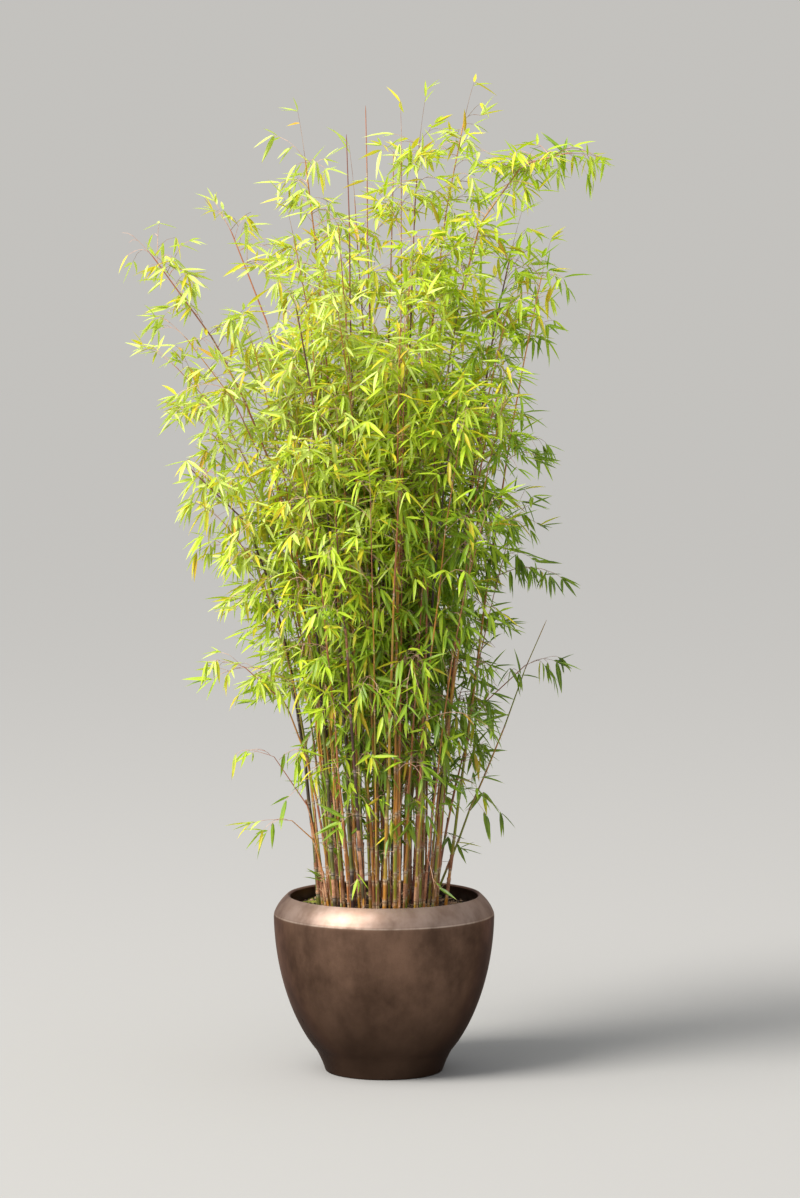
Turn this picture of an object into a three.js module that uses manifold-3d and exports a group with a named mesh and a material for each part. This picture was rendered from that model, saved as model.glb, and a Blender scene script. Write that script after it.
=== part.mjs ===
// A potted clump of bamboo: a round planter filled with soil, slender canes that rise from it and fan out,
// and a mass of twigs and leaves on the upper part of each leafy cane.
// Millimetres, +Z up. The origin is the middle of the planter's flat underside. The front looks along +Y.
import * as THREE from "three";
import { mergeVertices } from "three/addons/utils/BufferGeometryUtils.js";
import Module from "manifold-3d";

const wasm = await Module();
wasm.setup();

// Driving sizes of the planter
const POT_RADIUS = 225; // at its widest, just under the shoulder
const POT_HEIGHT = 361.5; // top of the lip
const FOOT_RADIUS = 119.5;
const WAIST = { radius: 139, height: 44 }; // where the foot turns out into the body
const BELLY = [{ radius: 180, height: 92 }, { radius: 222, height: 190 }]; // the body's curve is drawn towards these
const SHOULDER_HEIGHT = 324; // the crease under the bevelled band
const OPENING_RADIUS = 191.5;
const WALL = 14;
const FLOOR_HEIGHT = 22; // the planter's inner floor
const POT_SIDES = 36;
const CURVE_STEPS = 4; // straight runs in each curve of the planter's outline

// Driving sizes of the soil and the clump of canes
const SOIL_TOP = 338;
const SEAT_GAP = 0.3; // between two solids that stand on each other
const SOIL_SIDE_GAP = 1;
const CLUMP_RADIUS = 134; // of the disc in which the canes leave the soil
const CANE_RADIUS = 4.4; // at the foot
const TIP_SHARE = 0.3; // a cane's tip radius beside its foot radius
const LEAST_STEM_RADIUS = 2.8; // inside the foliage
const CANE_SIDES = 5;
const CANE_STEPS = 3; // straight runs in a bare cane
const STEM_SIDES = 4;
const STEM_STEPS = 6; // straight runs in the stem of a mass
const GOLDEN_ANGLE = Math.PI * (3 - Math.sqrt(5));

// Driving sizes of the foliage, with leaves larger than life, each one standing for a spray
const LEAF = { length: 128, width: 28, keel: 3.5, widestAt: 0.4 }; // the keel is its thickness at its widest
const SPEAR_LENGTH = 105; // of the leaf in which each leafy cane ends
const TWIG_RADIUS = { root: 1.7, end: 1.4 };
const TWIG_SIDES = 3;
const TWIG_STEPS = 2;
const TWIG_SPACING = 85; // along the stem
const TWIG_LENGTH = { low: 160, tip: 50 };
const TWIG_RISE = 0.75; // how steeply a twig leaves its stem
const TWIG_HANG = 0.6; // how much it then hangs over
const SIDE_LEAVES = [[0.8, 0.9], [0.66, -0.9], [0.38, 0.9]]; // how far along a twig, and how far aside of it
const LEAVES_AT_TIP = 3;
const TRIES = 12; // at each leaf before it is skipped
const SPACE_MARGIN = 7; // between the spaces of two masses
const LEAF_ROOM = 18; // left beyond a twig's end for its leaves
const LIMB_MARGIN = 4; // between a leaf or twig and a bare cane that it passes
const RIM_MARGIN = 12; // above the planter's lip

// The canes that shape the outline: where each leaves the soil and ends, how much it arches, how far its tip
// droops, and the height from which it carries leaves
const LEADERS = [
  { foot: [-72, -40], tip: [-470, -60, 1665], arch: 0.75, droop: 0, leaves: 800 },
  { foot: [-100, 40], tip: [-315, 90, 1715], arch: 0.85, droop: 0.05, leaves: 640 },
  { foot: [-125, 5], tip: [-400, -35, 1235], arch: 0.7, droop: 0.3, leaves: 560 },
  { foot: [-115, -40], tip: [-260, -120, 1480], arch: 0.5, droop: 0, leaves: 500 },
  { foot: [-40, 50], tip: [-160, 60, 1855], arch: 0.3, droop: 0, leaves: 900 },
  { foot: [10, -10], tip: [72, 10, 1890], arch: 0.3, droop: 0, leaves: 950 },
  { foot: [40, 30], tip: [163, 30, 1935], arch: 0.6, droop: 0, leaves: 900 },
  { foot: [70, -40], tip: [375, -30, 1862], arch: 1, droop: 0.5, leaves: 820 },
  { foot: [90, 50], tip: [262, 90, 1680], arch: 0.45, droop: 0, leaves: 720 },
  { foot: [125, 0], tip: [318, -20, 1620], arch: 0.2, droop: 0, leaves: 640 },
  { foot: [110, -60], tip: [225, -170, 1380], arch: 0.4, droop: 0, leaves: 560 },
];

// The leafy canes between them, in fans in front and behind: first and last azimuth in degrees, how far feet and
// tips stand from the middle, and the heights of the tips and of the lowest leaves
const FANS = [
  { count: 4, from: 229, to: 300, foot: 95, reach: 280, height: 1420, rise: 140, arch: 0.6, leaves: 560 },
  { count: 4, from: 38, to: 150, foot: 95, reach: 320, height: 1560, rise: 140, arch: 0.6, leaves: 560 },
];

// Canes with no leaves of their own: three tall whips, a leaning one, and those that end inside the crown
const WHIPS = [
  { foot: [-20, 20], tip: [-37, 30, 1960], arch: 0.2, droop: 0 },
  { foot: [-60, 0], tip: [-75, -30, 1900], arch: 0.2, droop: 0 },
  { foot: [20, 60], tip: [20, 75, 1870], arch: 0.1, droop: 0 },
  { foot: [130, 40], tip: [332, 60, 917], arch: 0, droop: 0 },
];
const INNER_CANES = { count: 16, spread: 1.75, height: 1150, rise: 330, shift: 60 };

// Repeatable random numbers from 0 to 1
function seeded(seed) {
  let state = seed;
  const draw = () => {
    state = (state * 16807) % 2147483647;
    return state / 2147483647;
  };
  draw();
  return draw;
}

const between = (low, high, share) => low + (high - low) * share;

// The planter and the soil

// The outside of the planter from the foot up to the lip, as points of radius and height
function outerProfile() {
  const side = new THREE.Path();
  side.moveTo(FOOT_RADIUS - 2, 0);
  side.lineTo(FOOT_RADIUS + 1.5, 4);
  side.quadraticCurveTo(FOOT_RADIUS + 8, 24, WAIST.radius, WAIST.height);
  side.bezierCurveTo(
    BELLY[0].radius, BELLY[0].height,
    BELLY[1].radius, BELLY[1].height,
    POT_RADIUS, SHOULDER_HEIGHT - 8,
  );
  side.lineTo(POT_RADIUS - 0.5, SHOULDER_HEIGHT);
  side.quadraticCurveTo(POT_RADIUS - 8, SHOULDER_HEIGHT + 21, OPENING_RADIUS + 6, POT_HEIGHT);
  side.lineTo(OPENING_RADIUS + 1, POT_HEIGHT);
  side.lineTo(OPENING_RADIUS, POT_HEIGHT - 4);
  return side.getPoints(CURVE_STEPS);
}

// The inside of the wall from the neck down to the inner floor, moved further in by gap
function innerProfile(gap) {
  const side = new THREE.Path();
  const reach = WALL + gap;
  side.moveTo(OPENING_RADIUS + 5 - gap, SOIL_TOP);
  side.lineTo(POT_RADIUS - reach, SHOULDER_HEIGHT - 12);
  side.bezierCurveTo(
    BELLY[1].radius - reach, BELLY[1].height,
    BELLY[0].radius - reach, BELLY[0].height,
    WAIST.radius - reach, WAIST.height,
  );
  side.lineTo(FOOT_RADIUS - reach, FLOOR_HEIGHT + (gap ? SEAT_GAP : 0));
  return side.getPoints(CURVE_STEPS);
}

function turned(outline) {
  return new THREE.LatheGeometry(outline, POT_SIDES).rotateX(Math.PI / 2);
}

const onAxis = (height) => new THREE.Vector2(0, height);

const potGeometry = () => turned([onAxis(0), ...outerProfile(), ...innerProfile(0), onAxis(FLOOR_HEIGHT)]);

function soilGeometry() {
  const sides = innerProfile(SOIL_SIDE_GAP).reverse();
  return turned([onAxis(FLOOR_HEIGHT + SEAT_GAP), ...sides, onAxis(SOIL_TOP)]);
}

// Canes and twigs as curves

// A cane stays in one upright plane: it leans out by a share of its height that grows towards the tip
class CaneCurve extends THREE.Curve {
  constructor({ foot, tip, arch, droop }) {
    super();
    Object.assign(this, { foot, tip, arch, droop });
    this.across = new THREE.Vector3(foot[1] - tip[1], tip[0] - foot[0], 0).normalize();
  }

  getPoint(t, target = new THREE.Vector3()) {
    const lean = (1 - this.arch) * t + this.arch * (0.6 * t ** 2 + 0.4 * t ** 6);
    const rise = t + this.droop * (t - t ** 3);
    return target.set(
      between(this.foot[0], this.tip[0], lean),
      between(this.foot[1], this.tip[1], lean),
      between(SOIL_TOP + SEAT_GAP, this.tip[2], rise),
    );
  }

  shareAtHeight(height) {
    let low = 0;
    let high = 1;
    for (let k = 0; k < 30; k++) {
      const middle = (low + high) / 2;
      if (this.getPoint(middle).z < height) low = middle;
      else high = middle;
    }
    return low;
  }
}

// A twig leaves its stem outwards and upwards and then hangs over
class TwigCurve extends THREE.Curve {
  constructor(root, azimuth, length) {
    super();
    Object.assign(this, { root, azimuth, length });
    this.across = new THREE.Vector3(-Math.sin(azimuth), Math.cos(azimuth), 0);
  }

  getPoint(t, target = new THREE.Vector3()) {
    const out = this.length * t;
    const up = this.length * (TWIG_RISE * t - TWIG_HANG * t * t);
    return target.set(Math.cos(this.azimuth) * out, Math.sin(this.azimuth) * out, up).add(this.root);
  }
}

function pointsAlong(curve, from, to, steps) {
  return Array.from({ length: steps + 1 }, (_, k) => curve.getPoint(between(from, to, k / steps)));
}

// The place at a share of the way along a chain of points
function placeOn(line, share) {
  const run = Math.min(Math.floor(share * (line.length - 1)), line.length - 2);
  return line[run].clone().lerp(line[run + 1], share * (line.length - 1) - run);
}

// Distances between chains of straight runs

const runsOf = (line) => line.slice(1).map((end, k) => new THREE.Line3(line[k], end));

const nearest = new THREE.Vector3();

function distanceToRuns(point, runs) {
  let best = Infinity;
  for (const run of runs) {
    run.closestPointToPoint(point, true, nearest);
    best = Math.min(best, nearest.distanceToSquared(point));
  }
  return Math.sqrt(best);
}

function gapBetweenRuns(some, others) {
  let best = Infinity;
  for (const one of some) for (const other of others) best = Math.min(best, one.distanceSqToLine3(other));
  return Math.sqrt(best);
}

// The clump of canes

// The places where canes leave the soil: a spiral that fills a disc evenly
function feet(count) {
  return Array.from({ length: count }, (_, k) => {
    const radius = CLUMP_RADIUS * Math.sqrt((k + 0.5) / count);
    return [radius * Math.cos(k * GOLDEN_ANGLE), radius * Math.sin(k * GOLDEN_ANGLE)];
  });
}

// Takes the free place nearest to the wanted one
function takeFoot(free, wanted) {
  const distance = (place) => Math.hypot(place[0] - wanted[0], place[1] - wanted[1]);
  const best = free.reduce((a, b) => (distance(b) < distance(a) ? b : a));
  free.splice(free.indexOf(best), 1);
  return best;
}

function fannedCanes(fan, random) {
  return Array.from({ length: fan.count }, (_, k) => {
    const angle = THREE.MathUtils.degToRad(between(fan.from, fan.to, k / (fan.count - 1)));
    const reach = fan.reach * between(0.82, 1.12, random());
    const height = fan.height + fan.rise * between(-1, 1, random());
    return {
      foot: [fan.foot * Math.cos(angle), fan.foot * Math.sin(angle)],
      tip: [reach * Math.cos(angle), reach * Math.sin(angle), height],
      arch: fan.arch,
      droop: 0,
      leaves: fan.leaves + 90 * random(),
    };
  });
}

function innerCane(foot, random) {
  const shift = () => INNER_CANES.shift * (random() - 0.5);
  return {
    foot,
    tip: [
      foot[0] * INNER_CANES.spread + shift(),
      foot[1] * INNER_CANES.spread + shift(),
      INNER_CANES.height + INNER_CANES.rise * random(),
    ],
    arch: 0.3 * random(),
    droop: 0,
  };
}

const radiusOn = (cane, t) => cane.radius * between(1, TIP_SHARE, t);
const stemRadiusOn = (cane, t) => Math.max(radiusOn(cane, t), LEAST_STEM_RADIUS);

// Adds to a cane its curve and thickness, and the middle lines of its bare part and of its stem in the foliage
function traced(cane, random) {
  const curve = new CaneCurve(cane);
  const split = cane.leaves ? curve.shareAtHeight(cane.leaves) : 1;
  const stemStart = split + SEAT_GAP / curve.getLength();
  const stemLine = cane.leaves ? pointsAlong(curve, stemStart, 1, STEM_STEPS) : [];
  return {
    ...cane,
    curve,
    split,
    stemStart,
    stemLine,
    radius: CANE_RADIUS * between(0.8, 1.15, random()),
    stemRuns: runsOf(stemLine),
    bareRuns: runsOf(pointsAlong(curve, 0, split, CANE_STEPS)),
  };
}

function passesClear(cane, other) {
  const least = cane.radius + other.radius + LIMB_MARGIN;
  return gapBetweenRuns(cane.bareRuns, [...other.bareRuns, ...other.stemRuns]) > least;
}

// All canes in their order, each inner one drawn again until it passes clear of those before it
function layOutCanes() {
  const random = seeded(41);
  const fanned = FANS.flatMap((fan) => fannedCanes(fan, random));
  const wanted = [...LEADERS, ...fanned, ...WHIPS];
  const free = feet(wanted.length + INNER_CANES.count);
  const laid = wanted.map((cane) => traced({ ...cane, foot: takeFoot(free, cane.foot) }, random));
  for (const foot of free) {
    let cane = traced(innerCane(foot, random), random);
    while (!laid.every((other) => passesClear(cane, other))) cane = traced(innerCane(foot, random), random);
    laid.push(cane);
  }
  return laid;
}

const canes = layOutCanes();
const leafyCanes = canes.filter((cane) => cane.leaves);

// Limbs, twigs and leaves as closed bodies through rings of corners

// The rings' corners turn left about the way the body goes. A ring of one corner is a point.
function bodyThrough(rings) {
  const faces = [];
  const sides = Math.max(...rings.map((ring) => ring.length));
  const corner = (ring, k) => ring[k % ring.length];
  rings.slice(1).forEach((high, step) => {
    const low = rings[step];
    for (let k = 0; k < sides; k++) {
      if (low.length > 1) faces.push([corner(low, k), corner(low, k + 1), corner(high, k + 1)]);
      if (high.length > 1) faces.push([corner(low, k), corner(high, k + 1), corner(high, k)]);
    }
  });
  const [first, last] = [rings[0], rings.at(-1)];
  for (let k = 1; k < first.length - 1; k++) faces.push([first[0], first[k + 1], first[k]]);
  for (let k = 1; k < last.length - 1; k++) faces.push([last[0], last[k], last[k + 1]]);
  return new THREE.BufferGeometry().setFromPoints(faces.flat());
}

function ringAround(middle, along, across, radius, sides) {
  const up = new THREE.Vector3().crossVectors(along, across).normalize();
  return Array.from({ length: sides }, (_, k) => {
    const angle = (k / sides - 0.25) * 2 * Math.PI;
    return middle
      .clone()
      .addScaledVector(across, radius * Math.cos(angle))
      .addScaledVector(up, radius * Math.sin(angle));
  });
}

function limbRings(curve, from, to, radiusAt, sides, steps) {
  return Array.from({ length: steps + 1 }, (_, k) => {
    const t = between(from, to, k / steps);
    return ringAround(curve.getPoint(t), curve.getTangent(t), curve.across, radiusAt(t), sides);
  });
}

// A leaf is a flat kite with a keel under it: its root, its keel and two widest corners, and its tip
function leafRings({ root, forward, roll, length, width }) {
  const level = new THREE.Vector3(-forward.y, forward.x, 0).normalize();
  const across = level.applyAxisAngle(forward, roll);
  const up = new THREE.Vector3().crossVectors(forward, across);
  const keel = root.clone().addScaledVector(forward, length * LEAF.widestAt);
  const wide = [1, -1].map((side) =>
    keel.clone().addScaledVector(across, (side * width) / 2).addScaledVector(up, LEAF.keel),
  );
  return [[root], [keel, ...wide], [root.clone().addScaledVector(forward, length)]];
}

// The space of each mass

// True if the point is nearer to its own stem than to any other one, and above the planter
function inOwnSpace(point, own, margin = SPACE_MARGIN) {
  if (point.z < POT_HEIGHT + RIM_MARGIN) return false;
  const home = distanceToRuns(point, own.stemRuns);
  return leafyCanes.every(
    (cane) => cane === own || distanceToRuns(point, cane.stemRuns) > home + margin,
  );
}

const clearOfBareCanes = (runs, reach) =>
  canes.every((cane) => gapBetweenRuns(runs, cane.bareRuns) > cane.radius + reach + LIMB_MARGIN);

function leafFits([[root], [, left, right], [tip]], own) {
  const outline = runsOf([root, left, tip, right, root, tip]);
  const inSpace = outline.every(
    (edge) => inOwnSpace(edge.end, own) && inOwnSpace(edge.getCenter(new THREE.Vector3()), own),
  );
  return inSpace && clearOfBareCanes(outline, 0);
}

function twigFits(line, own) {
  const inSpace = line.slice(1).every((point) => inOwnSpace(point, own, SPACE_MARGIN + LEAF_ROOM));
  return inSpace && clearOfBareCanes(runsOf(line), TWIG_RADIUS.root);
}

// Joining by manifold-3d

function solidFrom(geometry) {
  const merged = mergeVertices(geometry, 1e-4);
  return new wasm.Manifold(
    new wasm.Mesh({
      numProp: 3,
      vertProperties: new Float32Array(merged.getAttribute("position").array),
      triVerts: new Uint32Array(merged.index.array),
    }),
  );
}

function geometryFrom(solid) {
  const { vertProperties, triVerts } = solid.getMesh();
  return new THREE.BufferGeometry()
    .setAttribute("position", new THREE.BufferAttribute(vertProperties, 3))
    .setIndex(new THREE.BufferAttribute(triVerts, 1));
}

const joined = (whole, rings) => whole.add(solidFrom(bodyThrough(rings)));

// A mass of foliage

// A twig's curve, turned and shortened until it stays in the space, as a list of one or of none
function fittingTwig(own, root, azimuth, length) {
  for (const turn of [0, 0.5, -0.5, 1, -1]) {
    for (const share of [1, 0.7, 0.45, 0.3]) {
      const curve = new TwigCurve(root, azimuth + turn, length * share);
      if (twigFits(pointsAlong(curve, 0, 1, TWIG_STEPS), own)) return [curve];
    }
  }
  return [];
}

// The twigs of a mass, at even steps up its stem and each turned on from the one below
function twigsOf(own, number) {
  const random = seeded(100 + number);
  const count = Math.round(((1 - own.split) * own.curve.getLength()) / TWIG_SPACING);
  return Array.from({ length: count }, (_, k) => {
    const share = (k + 0.4) / count;
    const length = between(TWIG_LENGTH.low, TWIG_LENGTH.tip, share) * between(0.8, 1.2, random());
    return fittingTwig(own, placeOn(own.stemLine, share), (k + number) * GOLDEN_ANGLE, length);
  }).flat();
}

const isClearOf = (grown, rings) => grown.intersect(solidFrom(bodyThrough(rings))).isEmpty();

// The rings of a leaf in the first direction drawn that stays in the space and, beyond its root, touches nothing
// that has grown, or an empty list
function freeLeaf(grown, own, root, azimuth, random) {
  for (let tries = 0; tries < TRIES; tries++) {
    const heading = azimuth + 1.6 * (random() - 0.5);
    const fall = between(0.3, 1.45, random());
    const rings = leafRings({
      root,
      forward: new THREE.Vector3(Math.cos(heading), Math.sin(heading), -Math.tan(fall)).normalize(),
      roll: 1.1 * (random() - 0.5),
      length: LEAF.length * between(0.8, 1.12, random()),
      width: LEAF.width * between(0.85, 1.1, random()),
    });
    const beyondRoot = [[root.clone().lerp(rings[2][0], 0.12)], ...rings.slice(1)];
    if (leafFits(rings, own) && isClearOf(grown, beyondRoot)) return rings;
  }
  return [];
}

// A twig goes on into the leaf at its end without a joint, and the side leaves are joined to it. Nothing is added
// where the twig touches what has grown or none of its leaves fits.
function withTwig(grown, own, twig, random) {
  const rings = (from) =>
    limbRings(twig, from, 1, (t) => between(TWIG_RADIUS.root, TWIG_RADIUS.end, t), TWIG_SIDES, TWIG_STEPS);
  if (!isClearOf(grown, rings(0.15))) return grown;
  const endLeaf = freeLeaf(grown, own, twig.getPoint(1), twig.azimuth, random);
  let spray = joined(grown, [...rings(0), ...endLeaf.slice(1)]);
  let leaves = endLeaf.length;
  const line = pointsAlong(twig, 0, 1, TWIG_STEPS);
  for (const [share, aside] of SIDE_LEAVES) {
    const leaf = freeLeaf(spray, own, placeOn(line, share), twig.azimuth + aside, random);
    if (leaf.length) spray = joined(spray, leaf);
    leaves += leaf.length;
  }
  return leaves ? spray : grown;
}

// The leaf that goes on from the tip of a stem in line with it, and those round the tip
function withTipLeaves(grown, own, random) {
  const line = own.stemLine;
  const forward = line.at(-1).clone().sub(line.at(-2)).normalize();
  const spear = { root: placeOn(line, 0.98), forward, roll: 0.5, length: SPEAR_LENGTH, width: LEAF.width };
  let tufted = leafFits(leafRings(spear), own) ? joined(grown, leafRings(spear)) : grown;
  for (let k = 0; k < LEAVES_AT_TIP; k++) {
    const azimuth = own.radius + (k * 2 * Math.PI) / LEAVES_AT_TIP;
    const leaf = freeLeaf(tufted, own, placeOn(line, 0.98 - 0.02 * k), azimuth, random);
    if (leaf.length) tufted = joined(tufted, leaf);
  }
  return tufted;
}

function massGeometry(own, number) {
  const random = seeded(500 + number);
  const stem = limbRings(own.curve, own.stemStart, 1, (t) => stemRadiusOn(own, t), STEM_SIDES, STEM_STEPS);
  const start = withTipLeaves(solidFrom(bodyThrough(stem)), own, random);
  return geometryFrom(twigsOf(own, number).reduce((grown, twig) => withTwig(grown, own, twig, random), start));
}

// The foot of a cane is cut level
function caneGeometry(cane) {
  const { curve, split } = cane;
  const [foot, ...rings] = limbRings(curve, 0, split, (t) => radiusOn(cane, t), CANE_SIDES, CANE_STEPS);
  const upright = new THREE.Vector3(0, 0, 1);
  const levelFoot = ringAround(curve.getPoint(0), upright, curve.across, cane.radius, foot.length);
  return bodyThrough([levelFoot, ...rings]);
}

// The scene graph

const materials = {
  pot: new THREE.MeshStandardMaterial({ color: 0x6b5040, roughness: 0.42, metalness: 0.7 }),
  soil: new THREE.MeshStandardMaterial({ color: 0x2b211a, roughness: 0.95 }),
  cane: new THREE.MeshStandardMaterial({ color: 0x8a5a32, roughness: 0.5 }),
  darkCane: new THREE.MeshStandardMaterial({ color: 0x4a3238, roughness: 0.5 }),
  foliage: new THREE.MeshStandardMaterial({ color: 0x9dc22c, roughness: 0.55 }),
};

const plant = new THREE.Group();

function place(name, geometry, material) {
  const mesh = new THREE.Mesh(geometry, material);
  mesh.name = name;
  plant.add(mesh);
}

const numbered = (name, k) => `${name}_${String(k + 1).padStart(2, "0")}`;

place("pot", potGeometry(), materials.pot);
place("soil", soilGeometry(), materials.soil);
canes.forEach((cane, k) => {
  place(numbered("cane", k), caneGeometry(cane), k % 3 === 2 ? materials.darkCane : materials.cane);
});
leafyCanes.forEach((cane, k) => {
  place(numbered("foliage", k), massGeometry(cane, k), materials.foliage);
});

export default plant;
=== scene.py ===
"""A potted clump of bamboo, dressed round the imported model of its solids.

The canes follow the rule of the solids' source, written again here in millimetres. They carry finer twigs
and leaves of life size within the same reach. Finished pieces are in metres, the origin under the planter.
"""

import functools
import math

import bpy
import numpy as np
from bpy.props import FloatProperty, FloatVectorProperty, IntProperty, PointerProperty
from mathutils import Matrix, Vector, noise


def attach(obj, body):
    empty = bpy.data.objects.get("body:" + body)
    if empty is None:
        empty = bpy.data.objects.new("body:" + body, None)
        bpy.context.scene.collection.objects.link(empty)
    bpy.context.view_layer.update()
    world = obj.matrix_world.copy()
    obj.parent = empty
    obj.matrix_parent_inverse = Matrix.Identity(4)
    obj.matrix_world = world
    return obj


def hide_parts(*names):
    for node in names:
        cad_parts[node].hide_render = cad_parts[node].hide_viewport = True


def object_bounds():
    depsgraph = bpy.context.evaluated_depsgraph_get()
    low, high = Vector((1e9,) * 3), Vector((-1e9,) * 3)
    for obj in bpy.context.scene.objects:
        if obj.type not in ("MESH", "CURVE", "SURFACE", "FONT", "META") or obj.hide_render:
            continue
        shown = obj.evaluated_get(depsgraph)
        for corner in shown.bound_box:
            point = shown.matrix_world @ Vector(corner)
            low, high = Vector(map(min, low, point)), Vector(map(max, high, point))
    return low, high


bl_info = {
    "name": "Potted Bamboo",
    "version": (1, 0, 0),
    "blender": (4, 5, 0),
    "location": "3D View > Sidebar > Bamboo",
    "description": "Builds a clump of bamboo in its planter round the packed model",
    "category": "Add Mesh",
}

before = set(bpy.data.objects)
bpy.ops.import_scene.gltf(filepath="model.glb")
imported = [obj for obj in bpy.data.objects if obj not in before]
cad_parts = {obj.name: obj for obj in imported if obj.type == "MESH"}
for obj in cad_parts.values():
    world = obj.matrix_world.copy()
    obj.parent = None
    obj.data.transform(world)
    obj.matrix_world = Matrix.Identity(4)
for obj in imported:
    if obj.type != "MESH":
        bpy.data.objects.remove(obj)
CAD_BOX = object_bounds()

MM = 0.001
MOST_TRIANGLES = 200_000  # in one piece
GOLDEN_ANGLE = math.pi * (3 - math.sqrt(5))

# The planter and the soil, as in the source of the solids
POT_RADIUS = 225
POT_HEIGHT = 361.5
FOOT_RADIUS = 119.5
WAIST = (139, 44)
BELLY = ((180, 92), (222, 190))
SHOULDER_HEIGHT = 324
OPENING_RADIUS = 191.5
WALL = 14
FLOOR_HEIGHT = 22
SOIL_TOP = 338
SEAT_GAP = 0.3
SOIL_SIDE_GAP = 1

# The clump of canes, as in the source of the solids
CLUMP_RADIUS = 134
CANE_RADIUS = 4.4
TIP_SHARE = 0.3
CANE_STEPS = 3
STEM_STEPS = 6
TWIG_SPACING = 85
TWIG_LENGTH = (160, 50)
TWIG_RISE = 0.75
TWIG_HANG = 0.6
SPACE_MARGIN = 7
LEAF_ROOM = 18
LIMB_MARGIN = 4
RIM_MARGIN = 12
SOURCE_TWIG_RADIUS = 1.7

# Foot, tip, arch, droop and the height from which the cane carries leaves
LEADERS = [
    ((-72, -40), (-470, -60, 1665), 0.75, 0, 800),
    ((-100, 40), (-315, 90, 1715), 0.85, 0.05, 640),
    ((-125, 5), (-400, -35, 1235), 0.7, 0.3, 560),
    ((-115, -40), (-260, -120, 1480), 0.5, 0, 500),
    ((-40, 50), (-160, 60, 1855), 0.3, 0, 900),
    ((10, -10), (72, 10, 1890), 0.3, 0, 950),
    ((40, 30), (163, 30, 1935), 0.6, 0, 900),
    ((70, -40), (375, -30, 1862), 1, 0.5, 820),
    ((90, 50), (262, 90, 1680), 0.45, 0, 720),
    ((125, 0), (318, -20, 1620), 0.2, 0, 640),
    ((110, -60), (225, -170, 1380), 0.4, 0, 560),
]
# Count, first and last azimuth in degrees, foot, reach, height, rise, arch and leaves
FANS = [(4, 229, 300, 95, 280, 1420, 140, 0.6, 560), (4, 38, 150, 95, 320, 1560, 140, 0.6, 560)]
WHIPS = [
    ((-20, 20), (-37, 30, 1960), 0.2, 0, None),
    ((-60, 0), (-75, -30, 1900), 0.2, 0, None),
    ((20, 60), (20, 75, 1870), 0.1, 0, None),
    ((130, 40), (332, 60, 917), 0, 0, None),
]
# Thin leafy canes between the solids' ones: foot, tip, arch and droop. They fill the crown, stand in front
# and behind, and bear the low sprays at its sides.
SHOOTS = [
    ((-80, -60), (-400, -110, 1500), 0.7, 0.1),
    ((-105, -20), (-292, -60, 835), 0.6, 0.35),
    ((-110, 30), (-430, 40, 1440), 0.75, 0.15),
    ((-118, -45), (-232, -75, 655), 0.6, 0.35),
    ((-50, -50), (-180, -120, 1700), 0.4, 0),
    ((-20, -70), (-90, -110, 1720), 0.3, 0),
    ((0, 50), (-60, 90, 1780), 0.3, 0),
    ((30, -50), (35, -40, 1860), 0.3, 0),
    ((-120, -20), (-330, -60, 1130), 0.6, 0.2),
    ((-60, 90), (-140, 410, 1440), 0.6, 0.1),
    ((-30, 110), (-60, 380, 1300), 0.6, 0.1),
    ((90, -30), (250, -100, 1560), 0.4, 0),
    ((-112, -62), (-196, -92, 525), 0.6, 0.45),
    ((104, 34), (300, 50, 830), 0.6, 0.3),
    ((-90, 10), (-370, 50, 1320), 0.65, 0.15),
    ((40, -110), (110, -190, 1240), 0.5, 0),
    ((-40, -112), (-90, -200, 1330), 0.5, 0),
    ((-70, -100), (-165, -285, 1270), 0.45, 0),
    ((62, -104), (150, -290, 1300), 0.45, 0),
    ((98, -78), (235, -215, 1360), 0.45, 0),
    ((-14, -118), (-25, -300, 1180), 0.45, 0),
    ((80, -92), (195, -250, 1130), 0.45, 0),
    ((60, 90), (170, 230, 1600), 0.5, 0),
    ((0, 100), (-20, 280, 1500), 0.5, 0),
    ((100, 60), (230, 190, 1400), 0.5, 0),
    ((20, -100), (40, -260, 1380), 0.5, 0),
    ((-126, 20), (-318, 10, 1070), 0.6, 0.3),
]
# Gaps that the photograph shows in the crown and beside it, as seen from the front: x, height and radius
OPENINGS = [
    (-335, 1668, 46), (-291, 1598, 42), (-236, 1545, 30), (-232, 1738, 38), (-65, 1775, 42), (228, 1895, 34),
    (-435, 1255, 38), (350, 1448, 44), (-215, 722, 44), (-165, 735, 26), (-225, 602, 44), (-165, 520, 40),
    (-165, 455, 36), (266, 862, 38), (256, 770, 38), (262, 705, 40), (240, 592, 42),
]
# Canes that end inside the crown, as in the source of the solids
INNER_COUNT, INNER_SPREAD, INNER_HEIGHT, INNER_RISE, INNER_SHIFT = 16, 1.75, 1150, 330, 60

SLIMMER, SLIM_WHIP = 0.86, 0.66  # how thick the canes and the whips are beside the solids' ones
WHIP_NUMBERS = range(19, 23)
FRONT = -180  # canes whose tips stand further to the front bear few leaves, and their stems are seen
LEANING_CANE = 22  # the last of the whips, which stays bare

CURVE = np.linspace(0, 1, 201)  # the shares at which a cane's curve is measured
# A joint of a cane: rows of its tube round it, how much thicker each is, and how much ring it shows
JOINT_ROWS = np.array([-12.0, -4.6, -1.5, 1.3, 4.4, 12.0])
JOINT_SWELL = np.array([0.0, 0.02, 0.12, 0.28, 0.07, 0.0])
JOINT_RING = np.array([0.0, 0.35, 0.7, 1.0, 0.15, 0.0])
# The rows at the foot of a cane and before its tip, and how much thicker each is
FOOT_ROWS, FOOT_SWELL = [-9.0, 2.0], [0.25, 0.05]
TIP_ROWS, TIP_SWELL = [12, 0], [0, -0.6]
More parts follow.
